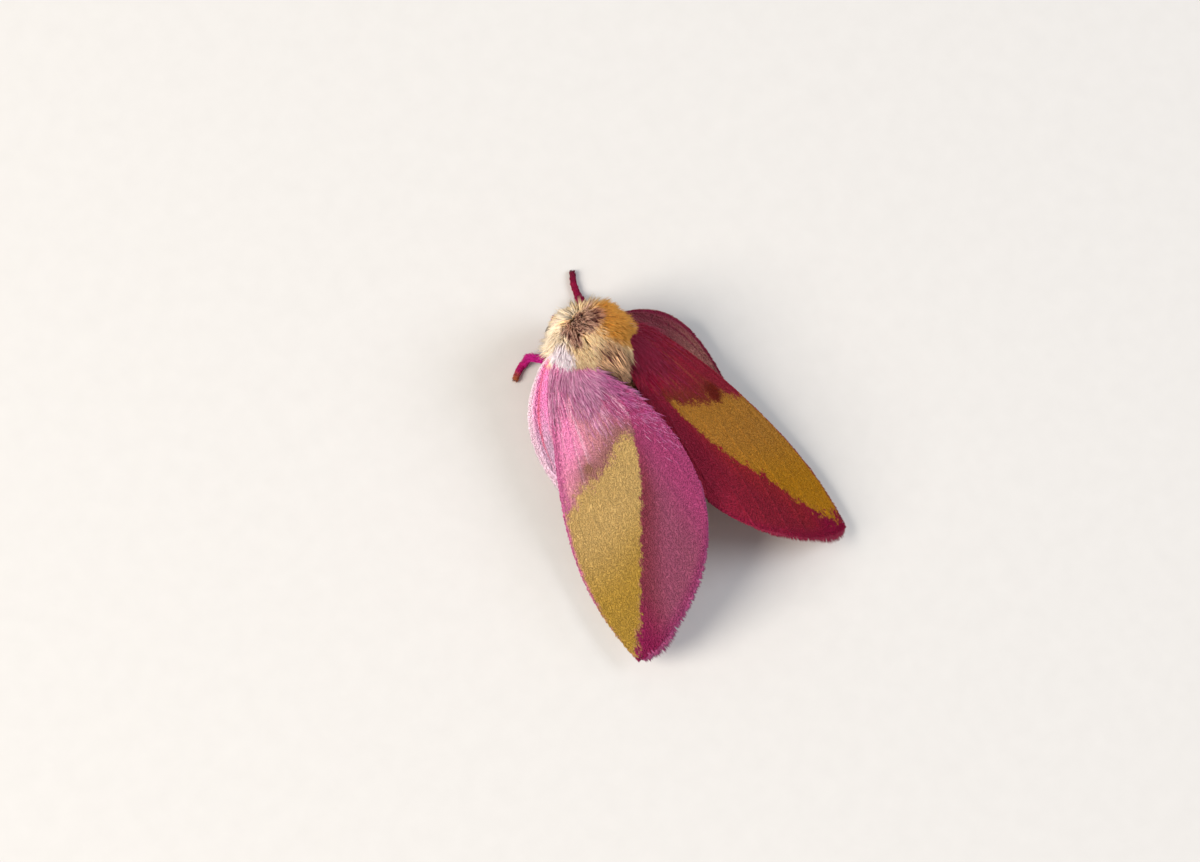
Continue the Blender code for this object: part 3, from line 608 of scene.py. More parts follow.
for side, word in SIDES:
    make_scales(side, word, "fore", WING_MATERIALS[side], 32000)


# %% [markdown]
# ## Hairs and fringes of the forewing
# Near the body the wing wears long silky hairs that lie back from the shoulder, thickest along
# the rear edge, where the left wing's hairs brush over the right wing. The outer margin ends
# in a fringe of slender scales. Both are tufts that start on the wing and follow its rays.
# They are paler than the scales and shine like silk, so they get a material of their own.

# %% The silk of the hairs
SILK_COLOURS = {
    # The left wing's hairs are painted pale, as painted light, and the right wing's deep crimson, as painted
    # shade.
    LEFT: {"root": "#bc4490", "tip": "#f0b4d4", "fringe": "#982c62", "fringe_tip": "#b04c80"},
    RIGHT: {"root": "#a00c36", "tip": "#b03054", "fringe": "#960a36", "fringe_tip": "#a82048"},
}
SILK_CLOUDS = 0.6  # mm


def silk_material(name, root, tip):
    """Fine silky hair that pales from its root to its tip, each hair a little different."""
    made, tree = new_material(name)
    place = add_node(tree, "ShaderNodeAttribute", attribute_name="place", out=1)
    tint, reach = (add_node(tree, "ShaderNodeAttribute", attribute_name=key, out=2)
                   for key in ("tint", "reach"))
    pale = add_node(tree, "ShaderNodeTexNoise", {"Vector": place, "Scale": 1 / SILK_CLOUDS, "Detail": 2.0})
    for value, weight in ((reach, 0.55), (tint, 0.8)):
        pale = add_node(tree, "ShaderNodeMath", {0: value, 1: weight, 2: pale}, operation="MULTIPLY_ADD")
    pale = add_node(tree, "ShaderNodeMapRange", {"Value": pale, "From Min": 0.60, "From Max": 1.50})
    tones = {0: pale, 6: linear(root), 7: linear(tip)}
    colour = add_node(tree, "ShaderNodeMix", tones, out=2, data_type="RGBA")
    shader = add_node(tree, "ShaderNodeBsdfPrincipled", {
        "Base Color": colour, "Roughness": 0.5, "IOR": CHITIN_IOR, "Specular IOR Level": 0.25,
        "Sheen Weight": 0.1, "Sheen Roughness": 0.35,
    })
    add_node(tree, "ShaderNodeOutputMaterial", {"Surface": shader}, out=None)
    return made


def make_tufts(name, roots, ways, outs, lengths, widths, bend, places, unwrap, chance, material, nodes,
               depth=0.5, pull=None, extra=None):
    """A coat piece of tufts with the attributes that its material reads."""
    widths = np.broadcast_to(widths, len(roots))
    points, faces, reach = tufts(roots, ways, outs, lengths, widths, bend, depth, pull)
    carried = {"place": places, "tint": chance.random(len(roots)), **(extra or {})}
    attributes = {key: np.repeat(value, TUFT_POINTS, 0) for key, value in carried.items()}
    attributes["reach"] = reach
    add_piece(name, points, faces, material, nodes, attributes, patches(unwrap, TUFT_POINTS))


# %% Hairs from the shoulder, and the fringe of the outer margin
HAIR_COUNT = {LEFT: 3000, RIGHT: 2400}


def shoulder_hairs(along, across):
    """How thick the hairs stand: at the root, and further out along the rear edge."""
    near = eased((0.22 - along) / 0.18) * (0.12 + 0.68 * eased((across - 0.3) / 0.35))
    near = near + eased((0.40 - along) / 0.3) * eased((across - 0.3) / 0.3) * 0.10
    return np.clip(near + eased((0.8 - along) / 0.5) * eased((across - 0.80) / 0.16) * 0.12, 0, 1)


def make_wing_hairs(side, word):
    """Silky hairs over the root and the rear edge of a forewing."""
    number = HAIR_COUNT[side]
    chance = np.random.default_rng(211 + side)
    along, across = scattered(side, "fore", number, chance, shoulder_hairs)
    roots, ray, breadth, out, spot = surface_under(side, "fore", along, across)
    rear = eased((across - 0.6) / 0.4) * eased((along - 0.12) / 0.3) * (side == LEFT)
    way = ray + breadth * (0.42 * rear + chance.normal(0, 0.12, number))[:, None]
    way = way + out * chance.uniform(0.05, 0.26, number)[:, None]
    lengths = (0.65 + 0.85 * eased((0.5 - along) / 0.5)) * chance.uniform(0.6, 1.15, number)
    material = silk_material(f"wing_hair_{word}", SILK_COLOURS[side]["root"], SILK_COLOURS[side]["tip"])
    tint = chance.random(number) * (1 - 0.95 * eased((along - 0.06) / 0.16) * eased((across - 0.80) / 0.1))
    place = pattern_of(side, along, across, spot)["place"]
    make_tufts(f"forewing_{word}_hairs", roots, way, out, lengths, 0.04, 0.14, place,
               np.stack([along, across], 1), chance, material, [f"forewing_{word}"],
               extra={"tint": tint})


def make_fringe(side, word, kind, number, reach_mm, material):
    """Slender scales round the outer margin of a wing, in two tiers."""
    chance = np.random.default_rng(307 + side + len(kind))
    across = np.sort(chance.uniform(0.0, 1.0, number))
    along = FRINGE_START[kind] - 0.012 * chance.random(number)
    middle, spot = on_wing(side, kind, along, across)
    ray, breadth, out = wing_directions(side, kind, along, across)
    margin = np.full(number, 0.97)
    before, after = (on_wing(side, kind, margin, np.clip(across + s, 0, 1))[0] for s in (-0.01, 0.01))
    edge = unit(after - before)
    square = unit(np.cross(edge, out))
    square = square * np.sign((square * ray).sum(1))[:, None]
    way = unit(square * 0.65 + ray * 0.35 + breadth * chance.normal(0, 0.10, number)[:, None])
    tier = chance.integers(0, 2, number)
    lengths = reach_mm * np.where(tier, 1.0, 0.62) * chance.uniform(0.85, 1.12, number)
    longer = 1 + 0.6 * np.exp(-(((across - 0.15) / 0.11) ** 2))  # near the wing's tip
    shorter = 1 - 0.75 * eased((across - 0.55) / 0.35)  # towards the rear edge
    lengths = lengths * longer * shorter
    lengths = lengths * (0.35 + 0.65 * eased(across / 0.06))
    way = way + out * (np.where(tier, -0.02, 0.06) + chance.normal(0, 0.03, number))[:, None]
    place = pattern_of(side, along, across, spot)["place"]
    node = f"{kind}wing_{word}"
    make_tufts(f"{node}_fringe", middle, way, out, lengths, 0.085, 0.03, place,
               np.stack([along, across], 1), chance, material, [node], 0.35)


for side, word in SIDES:
    make_wing_hairs(side, word)
    silk = SILK_COLOURS[side]
    fringe = silk_material(f"wing_fringe_{word}", silk["fringe"], silk["fringe_tip"])
    make_fringe(side, word, "fore", 1500, 0.45, fringe)


# %% [markdown]
# ## The hindwings
# Only the front lobe of each hindwing shows, below the front edge of the forewing. Its scales
# are thinner, so the folds along its veins show as stripes, which the colour paints as well:
# painted shade in the folds and painted light on the stripes between. The left wing's lobe is
# pale rose and the right one's, which lies in the shade, a dull rose: the left colours carry
# painted light and the right ones painted shade. A short fringe lines its edge, nearly white on
# the left and deep rose on the right, with the same painted light and shade. The rest lies
# folded over the abdomen.

# %% The hindwings' material, membranes, scales and fringes
HIND_COLOURS = {
    # The left side's colours are painted paler, as painted light; the right's darker, as painted shade.
    LEFT: {
        "base": "#fb96d2", "painted_fold_shade": "#ea7294", "pale": "#fbeef4",
        "low": "#dcb4d0", "edge": "#f6d4e4", "inner": "#d9b070",
    },
    RIGHT: {
        "base": "#93404c", "painted_fold_shade": "#82243a", "pale": "#bc8478",
        "low": "#b4746a", "edge": "#8c143c", "inner": "#9a6a3c",
    },
}
HIND_FAN = (0.55, 17.0, 0.0)  # folds along the rays


def hindwing_material(side, word):
    """Thin rose scales with folds along the veins, painted as stripes of painted shade and light."""
    colours = HIND_COLOURS[side]
    made, tree = new_material(f"hindwing_scales_{word}")
    place, shares = (add_node(tree, "ShaderNodeAttribute", attribute_name=key, out=1)
                     for key in ("place", "shares"))
    along, across, tint = add_node(tree, "ShaderNodeSeparateXYZ", {0: shares}, out=None).outputs
    grain = add_node(tree, "ShaderNodeTexNoise", {"Vector": place, "Scale": 1 / SCALE_GRAIN, "Detail": 2.0})
    fan = add_node(tree, "ShaderNodeVectorMath", {0: shares, 1: HIND_FAN}, operation="MULTIPLY")
    stripes = add_node(tree, "ShaderNodeTexNoise", {"Vector": fan, "Scale": 1.0, "Detail": 2.0})
    colour = linear(colours["base"])
    for key, value, low, high in (
        ("low", along, 0.20, 0.46),
        # Painted shade in the folds along the veins, and painted light on the pale stripes between them.
        ("painted_fold_shade", stripes, 0.52, 0.64),
        ("pale", stripes, 0.45, 0.34),
        ("edge", across, 0.07, 0.01),
        ("inner", across, 0.35, 0.7),
    ):
        mask = add_node(tree, "ShaderNodeMapRange", {"Value": value, "From Min": low, "From Max": high},
                        interpolation_type="SMOOTHSTEP")
        layer = {0: mask, 6: colour, 7: linear(colours[key])}
        colour = add_node(tree, "ShaderNodeMix", layer, out=2, data_type="RGBA")
    tone = 0.55
    for value, weight in ((grain, 0.6), (tint, 0.3)):
        tone = add_node(tree, "ShaderNodeMath", {0: value, 1: weight, 2: tone}, operation="MULTIPLY_ADD")
    colour = add_node(tree, "ShaderNodeVectorMath", {0: colour, 3: tone}, operation="SCALE")
    bump = add_node(tree, "ShaderNodeBump", {"Height": stripes, "Strength": 0.6, "Distance": 0.1 * MM})
    shader = add_node(tree, "ShaderNodeBsdfPrincipled", {
        "Base Color": colour, "Roughness": 0.65, "IOR": CHITIN_IOR, "Specular IOR Level": 0.15,
        "Normal": bump, "Sheen Weight": 0.06, "Sheen Roughness": 0.4,
    })
    add_node(tree, "ShaderNodeOutputMaterial", {"Surface": shader}, out=None)
    return made


def lobe_only(along, across):
    """Scales stand thick on the lobe that shows and thin out under the forewing."""
    return 0.15 + 0.85 * eased((0.6 - across) / 0.3)


for side, word in SIDES:
    hind = hindwing_material(side, word)
    make_membrane(side, word, "hind", hind, 120, 81)
    make_scales(side, word, "hind", hind, 9000, lobe_only)
    pale = silk_material(f"hindwing_fringe_{word}", HIND_COLOURS[side]["edge"], HIND_COLOURS[side]["pale"])
    make_fringe(side, word, "hind", 1100, 0.5, pale)


# %% Short hairs along the front edges
def make_front_hairs(side, word, kind, number, reach_mm, material):
    """Fine hairs along the front edge of a wing, which soften its outline."""
    chance = np.random.default_rng(401 + side + len(kind))
    along = chance.uniform(0.05, 0.9, number)
    across = np.full(number, 0.004)
    middle, spot = on_wing(side, kind, along, across)
    ray, breadth, out = wing_directions(side, kind, along, across)
    way = ray - breadth * chance.uniform(0.15, 0.7, number)[:, None]
    way = way + out * chance.normal(0.0, 0.2, number)[:, None]
    lengths = reach_mm * chance.uniform(0.6, 1.2, number)
    pattern = pattern_of(side, along, across, spot, chance)
    node = f"{kind}wing_{word}"
    make_tufts(f"{node}_front_hairs", middle, way, out, lengths, 0.04, 0.05, pattern["place"],
               np.stack([along, across], 1), chance, material, [node], extra=pattern)


for side, word in SIDES:
    make_front_hairs(side, word, "fore", 1600, 0.18, WING_MATERIALS[side])
    pale = bpy.data.materials[f"hindwing_fringe_{word}"]
    make_front_hairs(side, word, "hind", 1400, 0.26, pale)


# %% [markdown]
# ## The body's skin
# Under the wool, head, thorax and abdomen are one skin, with no seam where they meet. Rounded
# bodies for the thorax, neck, head and palps, and a turned abdomen with soft rings, are joined,
# and a voxel remesh melts them into a single closed surface. It lies within the solids' cores,
# so the wool on it reaches about as far as the solids' coarse locks do.

# %% Sizes of the body, in mm
THORAX_CENTRE, THORAX_HALF = np.array([0.0, 0.45, 4.65]), np.array([2.35, 2.45, 1.95])
HEAD_CENTRE, HEAD_HALF = np.array([0.0, -1.85, 2.75]), np.array([0.95, 0.95, 1.05])
ABDOMEN_START, ABDOMEN_LENGTH, ABDOMEN_RADIUS, ABDOMEN_HEIGHT = 2.0, 10.6, 1.95, 3.1
ABDOMEN_FLATNESS, ABDOMEN_DROOP, ABDOMEN_RINGS = 0.78, math.radians(4.0), 7
PALP = (((0.28, -2.3, 2.2), 0.28), ((0.32, -2.85, 2.05), 0.26), ((0.33, -2.98, 1.85), 0.13))
SKIN_VOXEL = 0.11
ABDOMEN_TURNS, ABDOMEN_RANKS = 48, 64  # points round it and along it


def on_abdomen(t, turn, inset=0.0):
    """Points on the abdomen t of the way to its tail and turned round it."""
    body = ABDOMEN_RADIUS * np.sqrt(np.maximum(0.0, 1 - t**2.6)) * np.minimum(1.0, 0.80 + 0.9 * t)
    body = np.maximum(body - 0.06 * np.cos(2 * math.pi * ABDOMEN_RINGS * t) - inset, 0.0)
    x, y, z = body * np.sin(turn), ABDOMEN_LENGTH * t, body * np.cos(turn) * ABDOMEN_FLATNESS
    c, s = math.cos(-ABDOMEN_DROOP), math.sin(-ABDOMEN_DROOP)
    return np.stack([x, ABDOMEN_START + y * c - z * s, ABDOMEN_HEIGHT + y * s + z * c], -1)


def ball(shape, centre, half):
    """Adds a round body to a bmesh, in mm."""
    made = bmesh.ops.create_uvsphere(shape, u_segments=48, v_segments=32, radius=1.0)["verts"]
    bmesh.ops.scale(shape, vec=Vector(half), verts=made)
    bmesh.ops.translate(shape, vec=Vector(centre), verts=made)


def make_skin_shape():
    """One closed surface for head, palps, thorax and abdomen, as points and faces in mm."""
    shape = bmesh.new()
    ball(shape, THORAX_CENTRE, THORAX_HALF - 0.12)
    ball(shape, HEAD_CENTRE, HEAD_HALF - 0.08)
    ball(shape, (THORAX_CENTRE + HEAD_CENTRE) / 2 + (0, -0.25, -0.3), (0.8, 0.9, 0.8))
    for side, _ in SIDES:
        for (x, y, z), radius in PALP:
            ball(shape, (side * x, y, z), np.full(3, radius - 0.02))
    turns = np.linspace(0, 2 * math.pi, ABDOMEN_TURNS, endpoint=False)
    rings = []
    for t in np.linspace(0.0, 1.0, ABDOMEN_RANKS):
        places = on_abdomen(np.full(ABDOMEN_TURNS, t), turns, 0.08)
        rings.append([shape.verts.new(Vector(p)) for p in places])
    for first, second in zip(rings, rings[1:]):
        for k in range(ABDOMEN_TURNS):
            after = (k + 1) % ABDOMEN_TURNS
            shape.faces.new((first[k], first[after], second[after], second[k]))
    shape.faces.new(rings[0][::-1])
    shape.faces.new(rings[-1])
    bmesh.ops.remove_doubles(shape, verts=shape.verts, dist=0.0005)
    bmesh.ops.recalc_face_normals(shape, faces=shape.faces)
    mesh = bpy.data.meshes.new("skin_parts")
    shape.to_mesh(mesh)
    shape.free()
    source = bpy.data.objects.new("skin_parts", mesh)
    bpy.context.scene.collection.objects.link(source)
    melt = source.modifiers.new("melt", "REMESH")
    melt.mode, melt.voxel_size, melt.use_smooth_shade = "VOXEL", SKIN_VOXEL, True
    soften = source.modifiers.new("soften", "SMOOTH")
    soften.factor, soften.iterations = 0.5, 4
    bpy.context.view_layer.update()
    done = bpy.data.meshes.new_from_object(source.evaluated_get(bpy.context.evaluated_depsgraph_get()))
    points = np.array([vert.co for vert in done.vertices])
    quads = np.array([list(face.vertices) for face in done.polygons])
    bpy.data.objects.remove(source)
    return points, quads


SKIN_POINTS, SKIN_QUADS = make_skin_shape()
reaches = [SKIN_POINTS.min(0).round(2), SKIN_POINTS.max(0).round(2)]
print("skin:", len(SKIN_POINTS), "points from", reaches[0], "to", reaches[1])


# %% [markdown]
# ## Colours of the wool
# The wool is orange yellow on the right shoulder, cream round the front of the left one, with
# a white tuft over the root of the left wing. On the shaded right the orange is partly the
# wool's own tone and partly painted shade, and on the lit left the cream and white are partly
# painted light. Mauve and dark brown hairs are mixed in across the middle, and again on the
# pointed tuft behind. Each is a soft zone on the body: a place and a size. The same zones
# colour the skin and every tuft, by where the part of it in view lies.

# %% Zones of colour over the body
ZONES = {  # centre and half sizes in mm
    # orange: deeper yellow on the right shoulder, partly the wool's own tone and partly painted shade
    "orange": (((-2.0, -0.2, 6.0), (1.9, 1.9, 3.0)),),
    "mauve": (
        ((0.2, -1.15, 6.7), (1.35, 0.8, 1.2)),
        ((-0.5, -2.0, 6.0), (0.6, 0.4, 0.7)),
        ((1.35, -0.6, 6.4), (0.5, 0.9, 0.9)),
    ),
    # cream and white: paler yellow on the left, partly the wool's own tone and partly painted light
    "cream": (((2.2, -1.5, 5.0), (0.95, 1.8, 2.2)), ((1.0, -2.4, 4.8), (1.3, 0.6, 1.6))),
    "white": (((2.6, 0.1, 5.8), (0.8, 0.9, 1.2)),),
    "scutellum": (((0.0, 2.3, 6.5), (1.1, 1.6, 1.8)),),
    "rose": (((0.0, -3.0, 1.9), (0.8, 0.7, 0.5)),),
}


def zones_at(points):
    """How strongly each zone holds at each point: 1 at its centre, 0 well outside it."""
    found = {}
    for key, places in ZONES.items():
        found[key] = np.zeros(len(points))
        for centre, half in places:
            away = np.linalg.norm((points - np.array(centre)) / np.array(half), axis=1)
            found[key] = np.maximum(found[key], eased((1.45 - away) / 0.9))
    return {
        "warm": np.stack([found["orange"], found["mauve"], found["cream"]], 1),
        "dark": np.stack([found["white"], found["scutellum"], found["rose"]], 1),
    }


# %% The wool's material
WOOL_COLOURS = {
    "base": "#f8dbac", "orange": "#e2a245", "mauve": "#d09c8e", "cream": "#eedec6", "white": "#fbf0f6",
    "scutellum": "#e6b084", "rose": "#a83a62", "fleck": "#5c2c2c",
}
MIXED_MOST = 0.7  # how far the mauve and the pointed tuft's colour ever cover what lies under them
FLECK, WOOL_CLOUDS = 0.16, 0.5  # mm across a dark fleck, and across the clouds at a zone's edge
WOOL_IOR = 1.55  # about that of chitin, because these hairs are chitin too


def wool_material(name, brightness, reads_tufts):
    """Soft wool in zones of colour, with dark flecks where mauve and brown hairs are mixed in."""
    made, tree = new_material(name)
    place, warm, dark = (add_node(tree, "ShaderNodeAttribute", attribute_name=key, out=1)
                         for key in ("place", "warm", "dark"))
    cloud = add_node(tree, "ShaderNodeTexNoise", {
        "Vector": place, "Scale": 1 / WOOL_CLOUDS, "Detail": 3.0, "Roughness": 0.6})
    fleck = add_node(tree, "ShaderNodeTexNoise", {
        "Vector": place, "Scale": 1 / FLECK, "Detail": 1.0, "Roughness": 0.6})
    orange, mauve, cream = add_node(tree, "ShaderNodeSeparateXYZ", {0: warm}, out=None).outputs
    white, scutellum, rose = add_node(tree, "ShaderNodeSeparateXYZ", {0: dark}, out=None).outputs
    colour = linear(WOOL_COLOURS["base"])
    for key, zone, most in (
        ("orange", orange, 1.0),
        ("cream", cream, 1.0),
        ("mauve", mauve, MIXED_MOST),
        ("scutellum", scutellum, MIXED_MOST),
        ("white", white, 1.0),
        ("rose", rose, 1.0),
    ):
        edge = zone
        for value, weight in ((cloud, 1.0), (fleck, 0.8)):
            edge = add_node(tree, "ShaderNodeMath", {0: value, 1: weight, 2: edge}, operation="MULTIPLY_ADD")
        span = {"Value": edge, "From Min": 1.05, "From Max": 1.65, "To Max": most}
        mask = add_node(tree, "ShaderNodeMapRange", span, interpolation_type="SMOOTHSTEP")
        layer = {0: mask, 6: colour, 7: linear(WOOL_COLOURS[key])}
        colour = add_node(tree, "ShaderNodeMix", layer, out=2, data_type="RGBA")
    tint = add_node(tree, "ShaderNodeAttribute", attribute_name="tint", out=2) if reads_tufts else 0.5
    mixed = add_node(tree, "ShaderNodeMath", {0: mauve, 1: scutellum}, operation="MAXIMUM")
    mixed = add_node(tree, "ShaderNodeMath", {0: mixed, 1: 0.28, 2: fleck}, operation="MULTIPLY_ADD")
    mixed = add_node(tree, "ShaderNodeMath", {0: tint, 1: 0.45, 2: mixed}, operation="MULTIPLY_ADD")
    mask = add_node(tree, "ShaderNodeMapRange", {"Value": mixed, "From Min": 1.01, "From Max": 1.12},
                    interpolation_type="SMOOTHSTEP")
    layer = {0: mask, 6: colour, 7: linear(WOOL_COLOURS["fleck"])}
    colour = add_node(tree, "ShaderNodeMix", layer, out=2, data_type="RGBA")
    tone = brightness
    # Painted shade: each tuft is darker towards its root, where its neighbours shade it, and lighter at its
    # tip.
    if reads_tufts:
        tone = brightness - 0.40
        reach = add_node(tree, "ShaderNodeAttribute", attribute_name="reach", out=2)
        for value, weight in ((reach, 0.40), (tint, 0.50)):
            tone = add_node(tree, "ShaderNodeMath", {0: value, 1: weight, 2: tone}, operation="MULTIPLY_ADD")
    colour = add_node(tree, "ShaderNodeVectorMath", {0: colour, 3: tone}, operation="SCALE")
    bump = add_node(tree, "ShaderNodeBump", {"Height": fleck, "Strength": 0.5, "Distance": 0.08 * MM})
    shader = add_node(tree, "ShaderNodeBsdfPrincipled", {
        "Base Color": colour, "Roughness": 0.7, "IOR": WOOL_IOR, "Specular IOR Level": 0.2, "Normal": bump,
        "Sheen Weight": 0.15, "Sheen Roughness": 0.45, "Sheen Tint": linear("#f5e2c0"),
    })
    add_node(tree, "ShaderNodeOutputMaterial", {"Surface": shader}, out=None)
    return made


WOOL = wool_material("yellow_wool_tufts", 0.95, True)
# The skin takes the wool's colours at 0.55 of their brightness: painted shade, for the shadow under the wool.
SKIN = wool_material("skin_in_painted_shade", 0.55, False)
add_piece("body_skin", SKIN_POINTS, [SKIN_QUADS], SKIN, ["head", "thorax", "abdomen"],
          {"place": SKIN_POINTS, **zones_at(SKIN_POINTS)})


# %% [markdown]
# ## The wool of the thorax
# The tufts start on the thorax, lie forwards over the collar and back over the shoulders, and
# meet behind in a point. Neighbours cling together in locks, as damp or brushed wool does, so
# each tuft's tip is drawn towards the tip of the nearest lock.

# %% Tufts on the thorax
LOCK_COUNT = 620
VISIBLE = 0.65  # the share along a tuft of the part that its neighbours leave in view
TUFT_LENGTH, TUFT_WIDTH = 1.45, 0.070
THORAX_SKIN = THORAX_HALF - 0.14  # the roots lie just under the skin
SPLAY = np.array([0.42, 0.0, 0.0])  # how far the collar's wool spreads sideways
TUFT_POINT = np.array([0.0, 4.0, 7.05])  # where the tip of the pointed tuft ends, in mm


def ellipsoid_roots(centre, half, number, chance, bare):
    """Roots spread evenly over an ellipsoid, with the directions out of it and their unwrap."""
    found = np.zeros((0, 3))
    while len(found) < number:
        ways = unit(chance.normal(size=(2 * number, 3)))
        points = centre + ways * half
        area = np.linalg.norm(ways / half, axis=1)
        kept = (chance.random(len(ways)) < area / area.max()) & ~bare(points)
        found = np.concatenate([found, ways[kept]])
    ways = found[:number]
    unwrap = np.stack([np.arctan2(ways[:, 0], ways[:, 2]) / (2 * math.pi) + 0.5, (ways[:, 1] + 1) / 2], 1)
    return centre + ways * half, unit(ways / half), unwrap


def thorax_way(roots, outs, lift):
    """The lie of the wool: forwards at the collar, back over the shoulders to a point behind."""
    back = unit(np.array([-0.2, 4.8, 6.3]) - roots) + roots * (0.16, 0.0, 0.0)
    cheek = eased((roots[:, 0] - 0.7) / 0.8) * eased((5.2 - roots[:, 2]) / 0.8)
    forward = eased((cheek - 1.35 - roots[:, 1]) / 0.9)[:, None]
    flow = back * (1 - forward) + (np.array([0.0, -0.9, -0.6]) + roots * SPLAY) * forward
    flow = flow - outs * (flow * outs).sum(1, keepdims=True)
    return unit(unit(flow) + outs * np.reshape(lift, (-1, 1)))


def thorax_bare(points):
    """The underside and the place where the head meets it carry no long wool."""
    return points[:, 2] < 3.0


def wool_length(roots):
    """Longer wool behind, on the crest and at the left cheek, and shorter at the wings' roots."""
    rear = eased((roots[:, 1] - 1.0) / 1.6) * eased((roots[:, 2] - 4.6) / 1.2)
    crest = eased((-1.0 - roots[:, 1]) / 0.8) * eased((roots[:, 2] - 4.4) / 0.8)
    flank = eased((np.abs(roots[:, 0]) - 1.0) / 0.9) * eased((roots[:, 1] + 0.2) / 1.2)
    cheek = eased((roots[:, 0] - 0.9) / 0.8) * eased((-0.3 - roots[:, 1]) / 0.8)
    shorter = np.where(roots[:, 0] > 0, 0.42, 0.75) * flank
    return TUFT_LENGTH * (1 + 0.35 * rear + 0.28 * crest + 0.55 * cheek) * (1 - shorter)


def make_wool(name, node, roots, ways, outs, lengths, widths, bend, unwrap, chance, seen, pull=None):
    """A coat piece of wool, each tuft in the colour of the zone where the part in view lies."""
    make_tufts(name, roots, ways, outs, lengths, widths, bend, roots, unwrap, chance, WOOL,
               [node], pull=pull, extra=zones_at(seen))


def in_view(roots, ways, lengths):
    """The places of the parts of tufts that their neighbours leave in view."""
    return roots + unit(ways) * np.reshape(lengths, (-1, 1)) * VISIBLE


def make_thorax_wool(number, name, seed):
    """One piece of the thorax's wool."""
    chance = np.random.default_rng(seed)
    roots, outs, unwrap = ellipsoid_roots(THORAX_CENTRE, THORAX_SKIN, number, chance, thorax_bare)
    locks = np.random.default_rng(71)
    lock_roots, lock_outs, _ = ellipsoid_roots(THORAX_CENTRE, THORAX_SKIN, LOCK_COUNT, locks, thorax_bare)
    lock_ways = thorax_way(lock_roots, lock_outs, locks.uniform(0.55, 1.0, LOCK_COUNT))
    lock_ways = unit(lock_ways + locks.normal(0, 0.10, (LOCK_COUNT, 3)))
    lock_lengths = wool_length(lock_roots) * locks.uniform(0.8, 1.1, LOCK_COUNT)
    lock_tips = lock_roots + lock_ways * lock_lengths[:, None]
    nearest = np.concatenate([
        np.argmin(((part[:, None] - lock_roots[None]) ** 2).sum(2), 1) for part in np.array_split(roots, 40)])
    ways = thorax_way(roots, outs, chance.uniform(0.50, 1.05, number)) + chance.normal(0, 0.10, (number, 3))
    lengths = wool_length(roots) * chance.uniform(0.6, 1.1, number)
    to_lock = lock_tips[nearest] - roots - unit(ways) * lengths[:, None]
    pull = to_lock * chance.uniform(0.25, 0.6, number)[:, None]
    widths = TUFT_WIDTH * chance.uniform(0.7, 1.2, number)
    make_wool(name, "thorax", roots, ways, outs, lengths, widths, 0.12, unwrap, chance,
              in_view(roots, ways, lengths), pull)


def off_the_tuft(points):
    """All but a wedge on the thorax's back, which narrows behind."""
    ahead, below = points[:, 1] < 0.7, points[:, 2] < 5.5
    return ahead | below | (np.abs(points[:, 0] - 0.15) > 1.45 - 0.3 * points[:, 1])


def make_pointed_tuft(number):
    """The pointed tuft behind the thorax, which lies in the fork between the two wings."""
    chance = np.random.default_rng(511)
    roots, _, unwrap = ellipsoid_roots(THORAX_CENTRE, THORAX_SKIN, number, chance, off_the_tuft)
    aside = roots[:, 0] - TUFT_POINT[0] * 0.5
    goal = TUFT_POINT + np.stack([0.35 * aside, -1.0 * np.abs(aside), -0.1 * np.abs(aside)], 1)
    run = goal - roots
    lengths = np.linalg.norm(run, axis=1) * chance.uniform(0.35, 1.0, number)
    ways = unit(run) + np.array([0, 0, 0.22]) + chance.normal(0, 0.06, (number, 3))
    upwards = np.tile((0.0, 0.0, 1.0), (number, 1))
    make_wool("thorax_pointed_tuft", "thorax", roots, ways, upwards, lengths, 0.075, 0.14, unwrap, chance,
              in_view(roots, ways, lengths))


make_pointed_tuft(5200)
make_thorax_wool(15000, "thorax_wool_long", 501)
make_thorax_wool(13000, "thorax_wool_fine", 502)


# %% Tufts on the head and the abdomen
HEAD_WOOL = 0.72  # mm


def make_head_wool(number):
    """Short wool that lies down over the face and out over the eyes."""
    chance = np.random.default_rng(601)
    roots, outs, unwrap = ellipsoid_roots(HEAD_CENTRE, HEAD_HALF - 0.1, number, chance,
                                          lambda p: (p[:, 1] > -1.9) | (p[:, 2] < 1.9))
    brow = eased((roots[:, 2] - 2.7) / 0.5) * eased(np.abs(roots[:, 0]) / 0.6)
    flow = np.array([0.0, -0.5, -1.0]) + roots * (1.4, 0.0, 0.0) * brow[:, None]
    ways = flow - outs * (flow * outs).sum(1, keepdims=True)
    ways = unit(ways) + outs * chance.uniform(0.25, 0.65, number)[:, None]
    ways = ways + chance.normal(0, 0.12, (number, 3))
    lengths = (HEAD_WOOL + 0.33 * brow) * chance.uniform(0.6, 1.1, number)
    make_wool("head_wool", "head", roots, ways, outs, lengths, 0.07, 0.2, unwrap, chance,
              in_view(roots, ways, HEAD_WOOL))


def make_palp_hairs(number):
    """Short rose hairs along both palps."""
    chance = np.random.default_rng(611)
    side = np.where(np.arange(number) % 2, 1.0, -1.0)
    start, end = np.array(PALP[0][0]), np.array(PALP[2][0])
    t = chance.random(number)
    turn = chance.uniform(0, 2 * math.pi, number)
    line = unit(end - start)
    first = unit(np.cross(line, (0.0, 0.0, 1.0)))
    second = np.cross(line, first)
    outs = np.cos(turn)[:, None] * first + np.sin(turn)[:, None] * second
    roots = start + (end - start) * t[:, None] + outs * (0.24 - 0.12 * t)[:, None]
    flip = np.stack([side, np.ones(number), np.ones(number)], 1)
    roots, outs = roots * flip, outs * flip
    ways = line * flip + outs * chance.uniform(0.3, 0.7, number)[:, None]
    lengths = 0.20 * chance.uniform(0.6, 1.1, number)
    unwrap = np.stack([t, turn / (2 * math.pi)], 1)
    make_wool("palp_hairs", "head", roots, ways, outs, lengths, 0.05, 0.1, unwrap, chance,
              roots + np.array([0, -0.4, -0.2]))


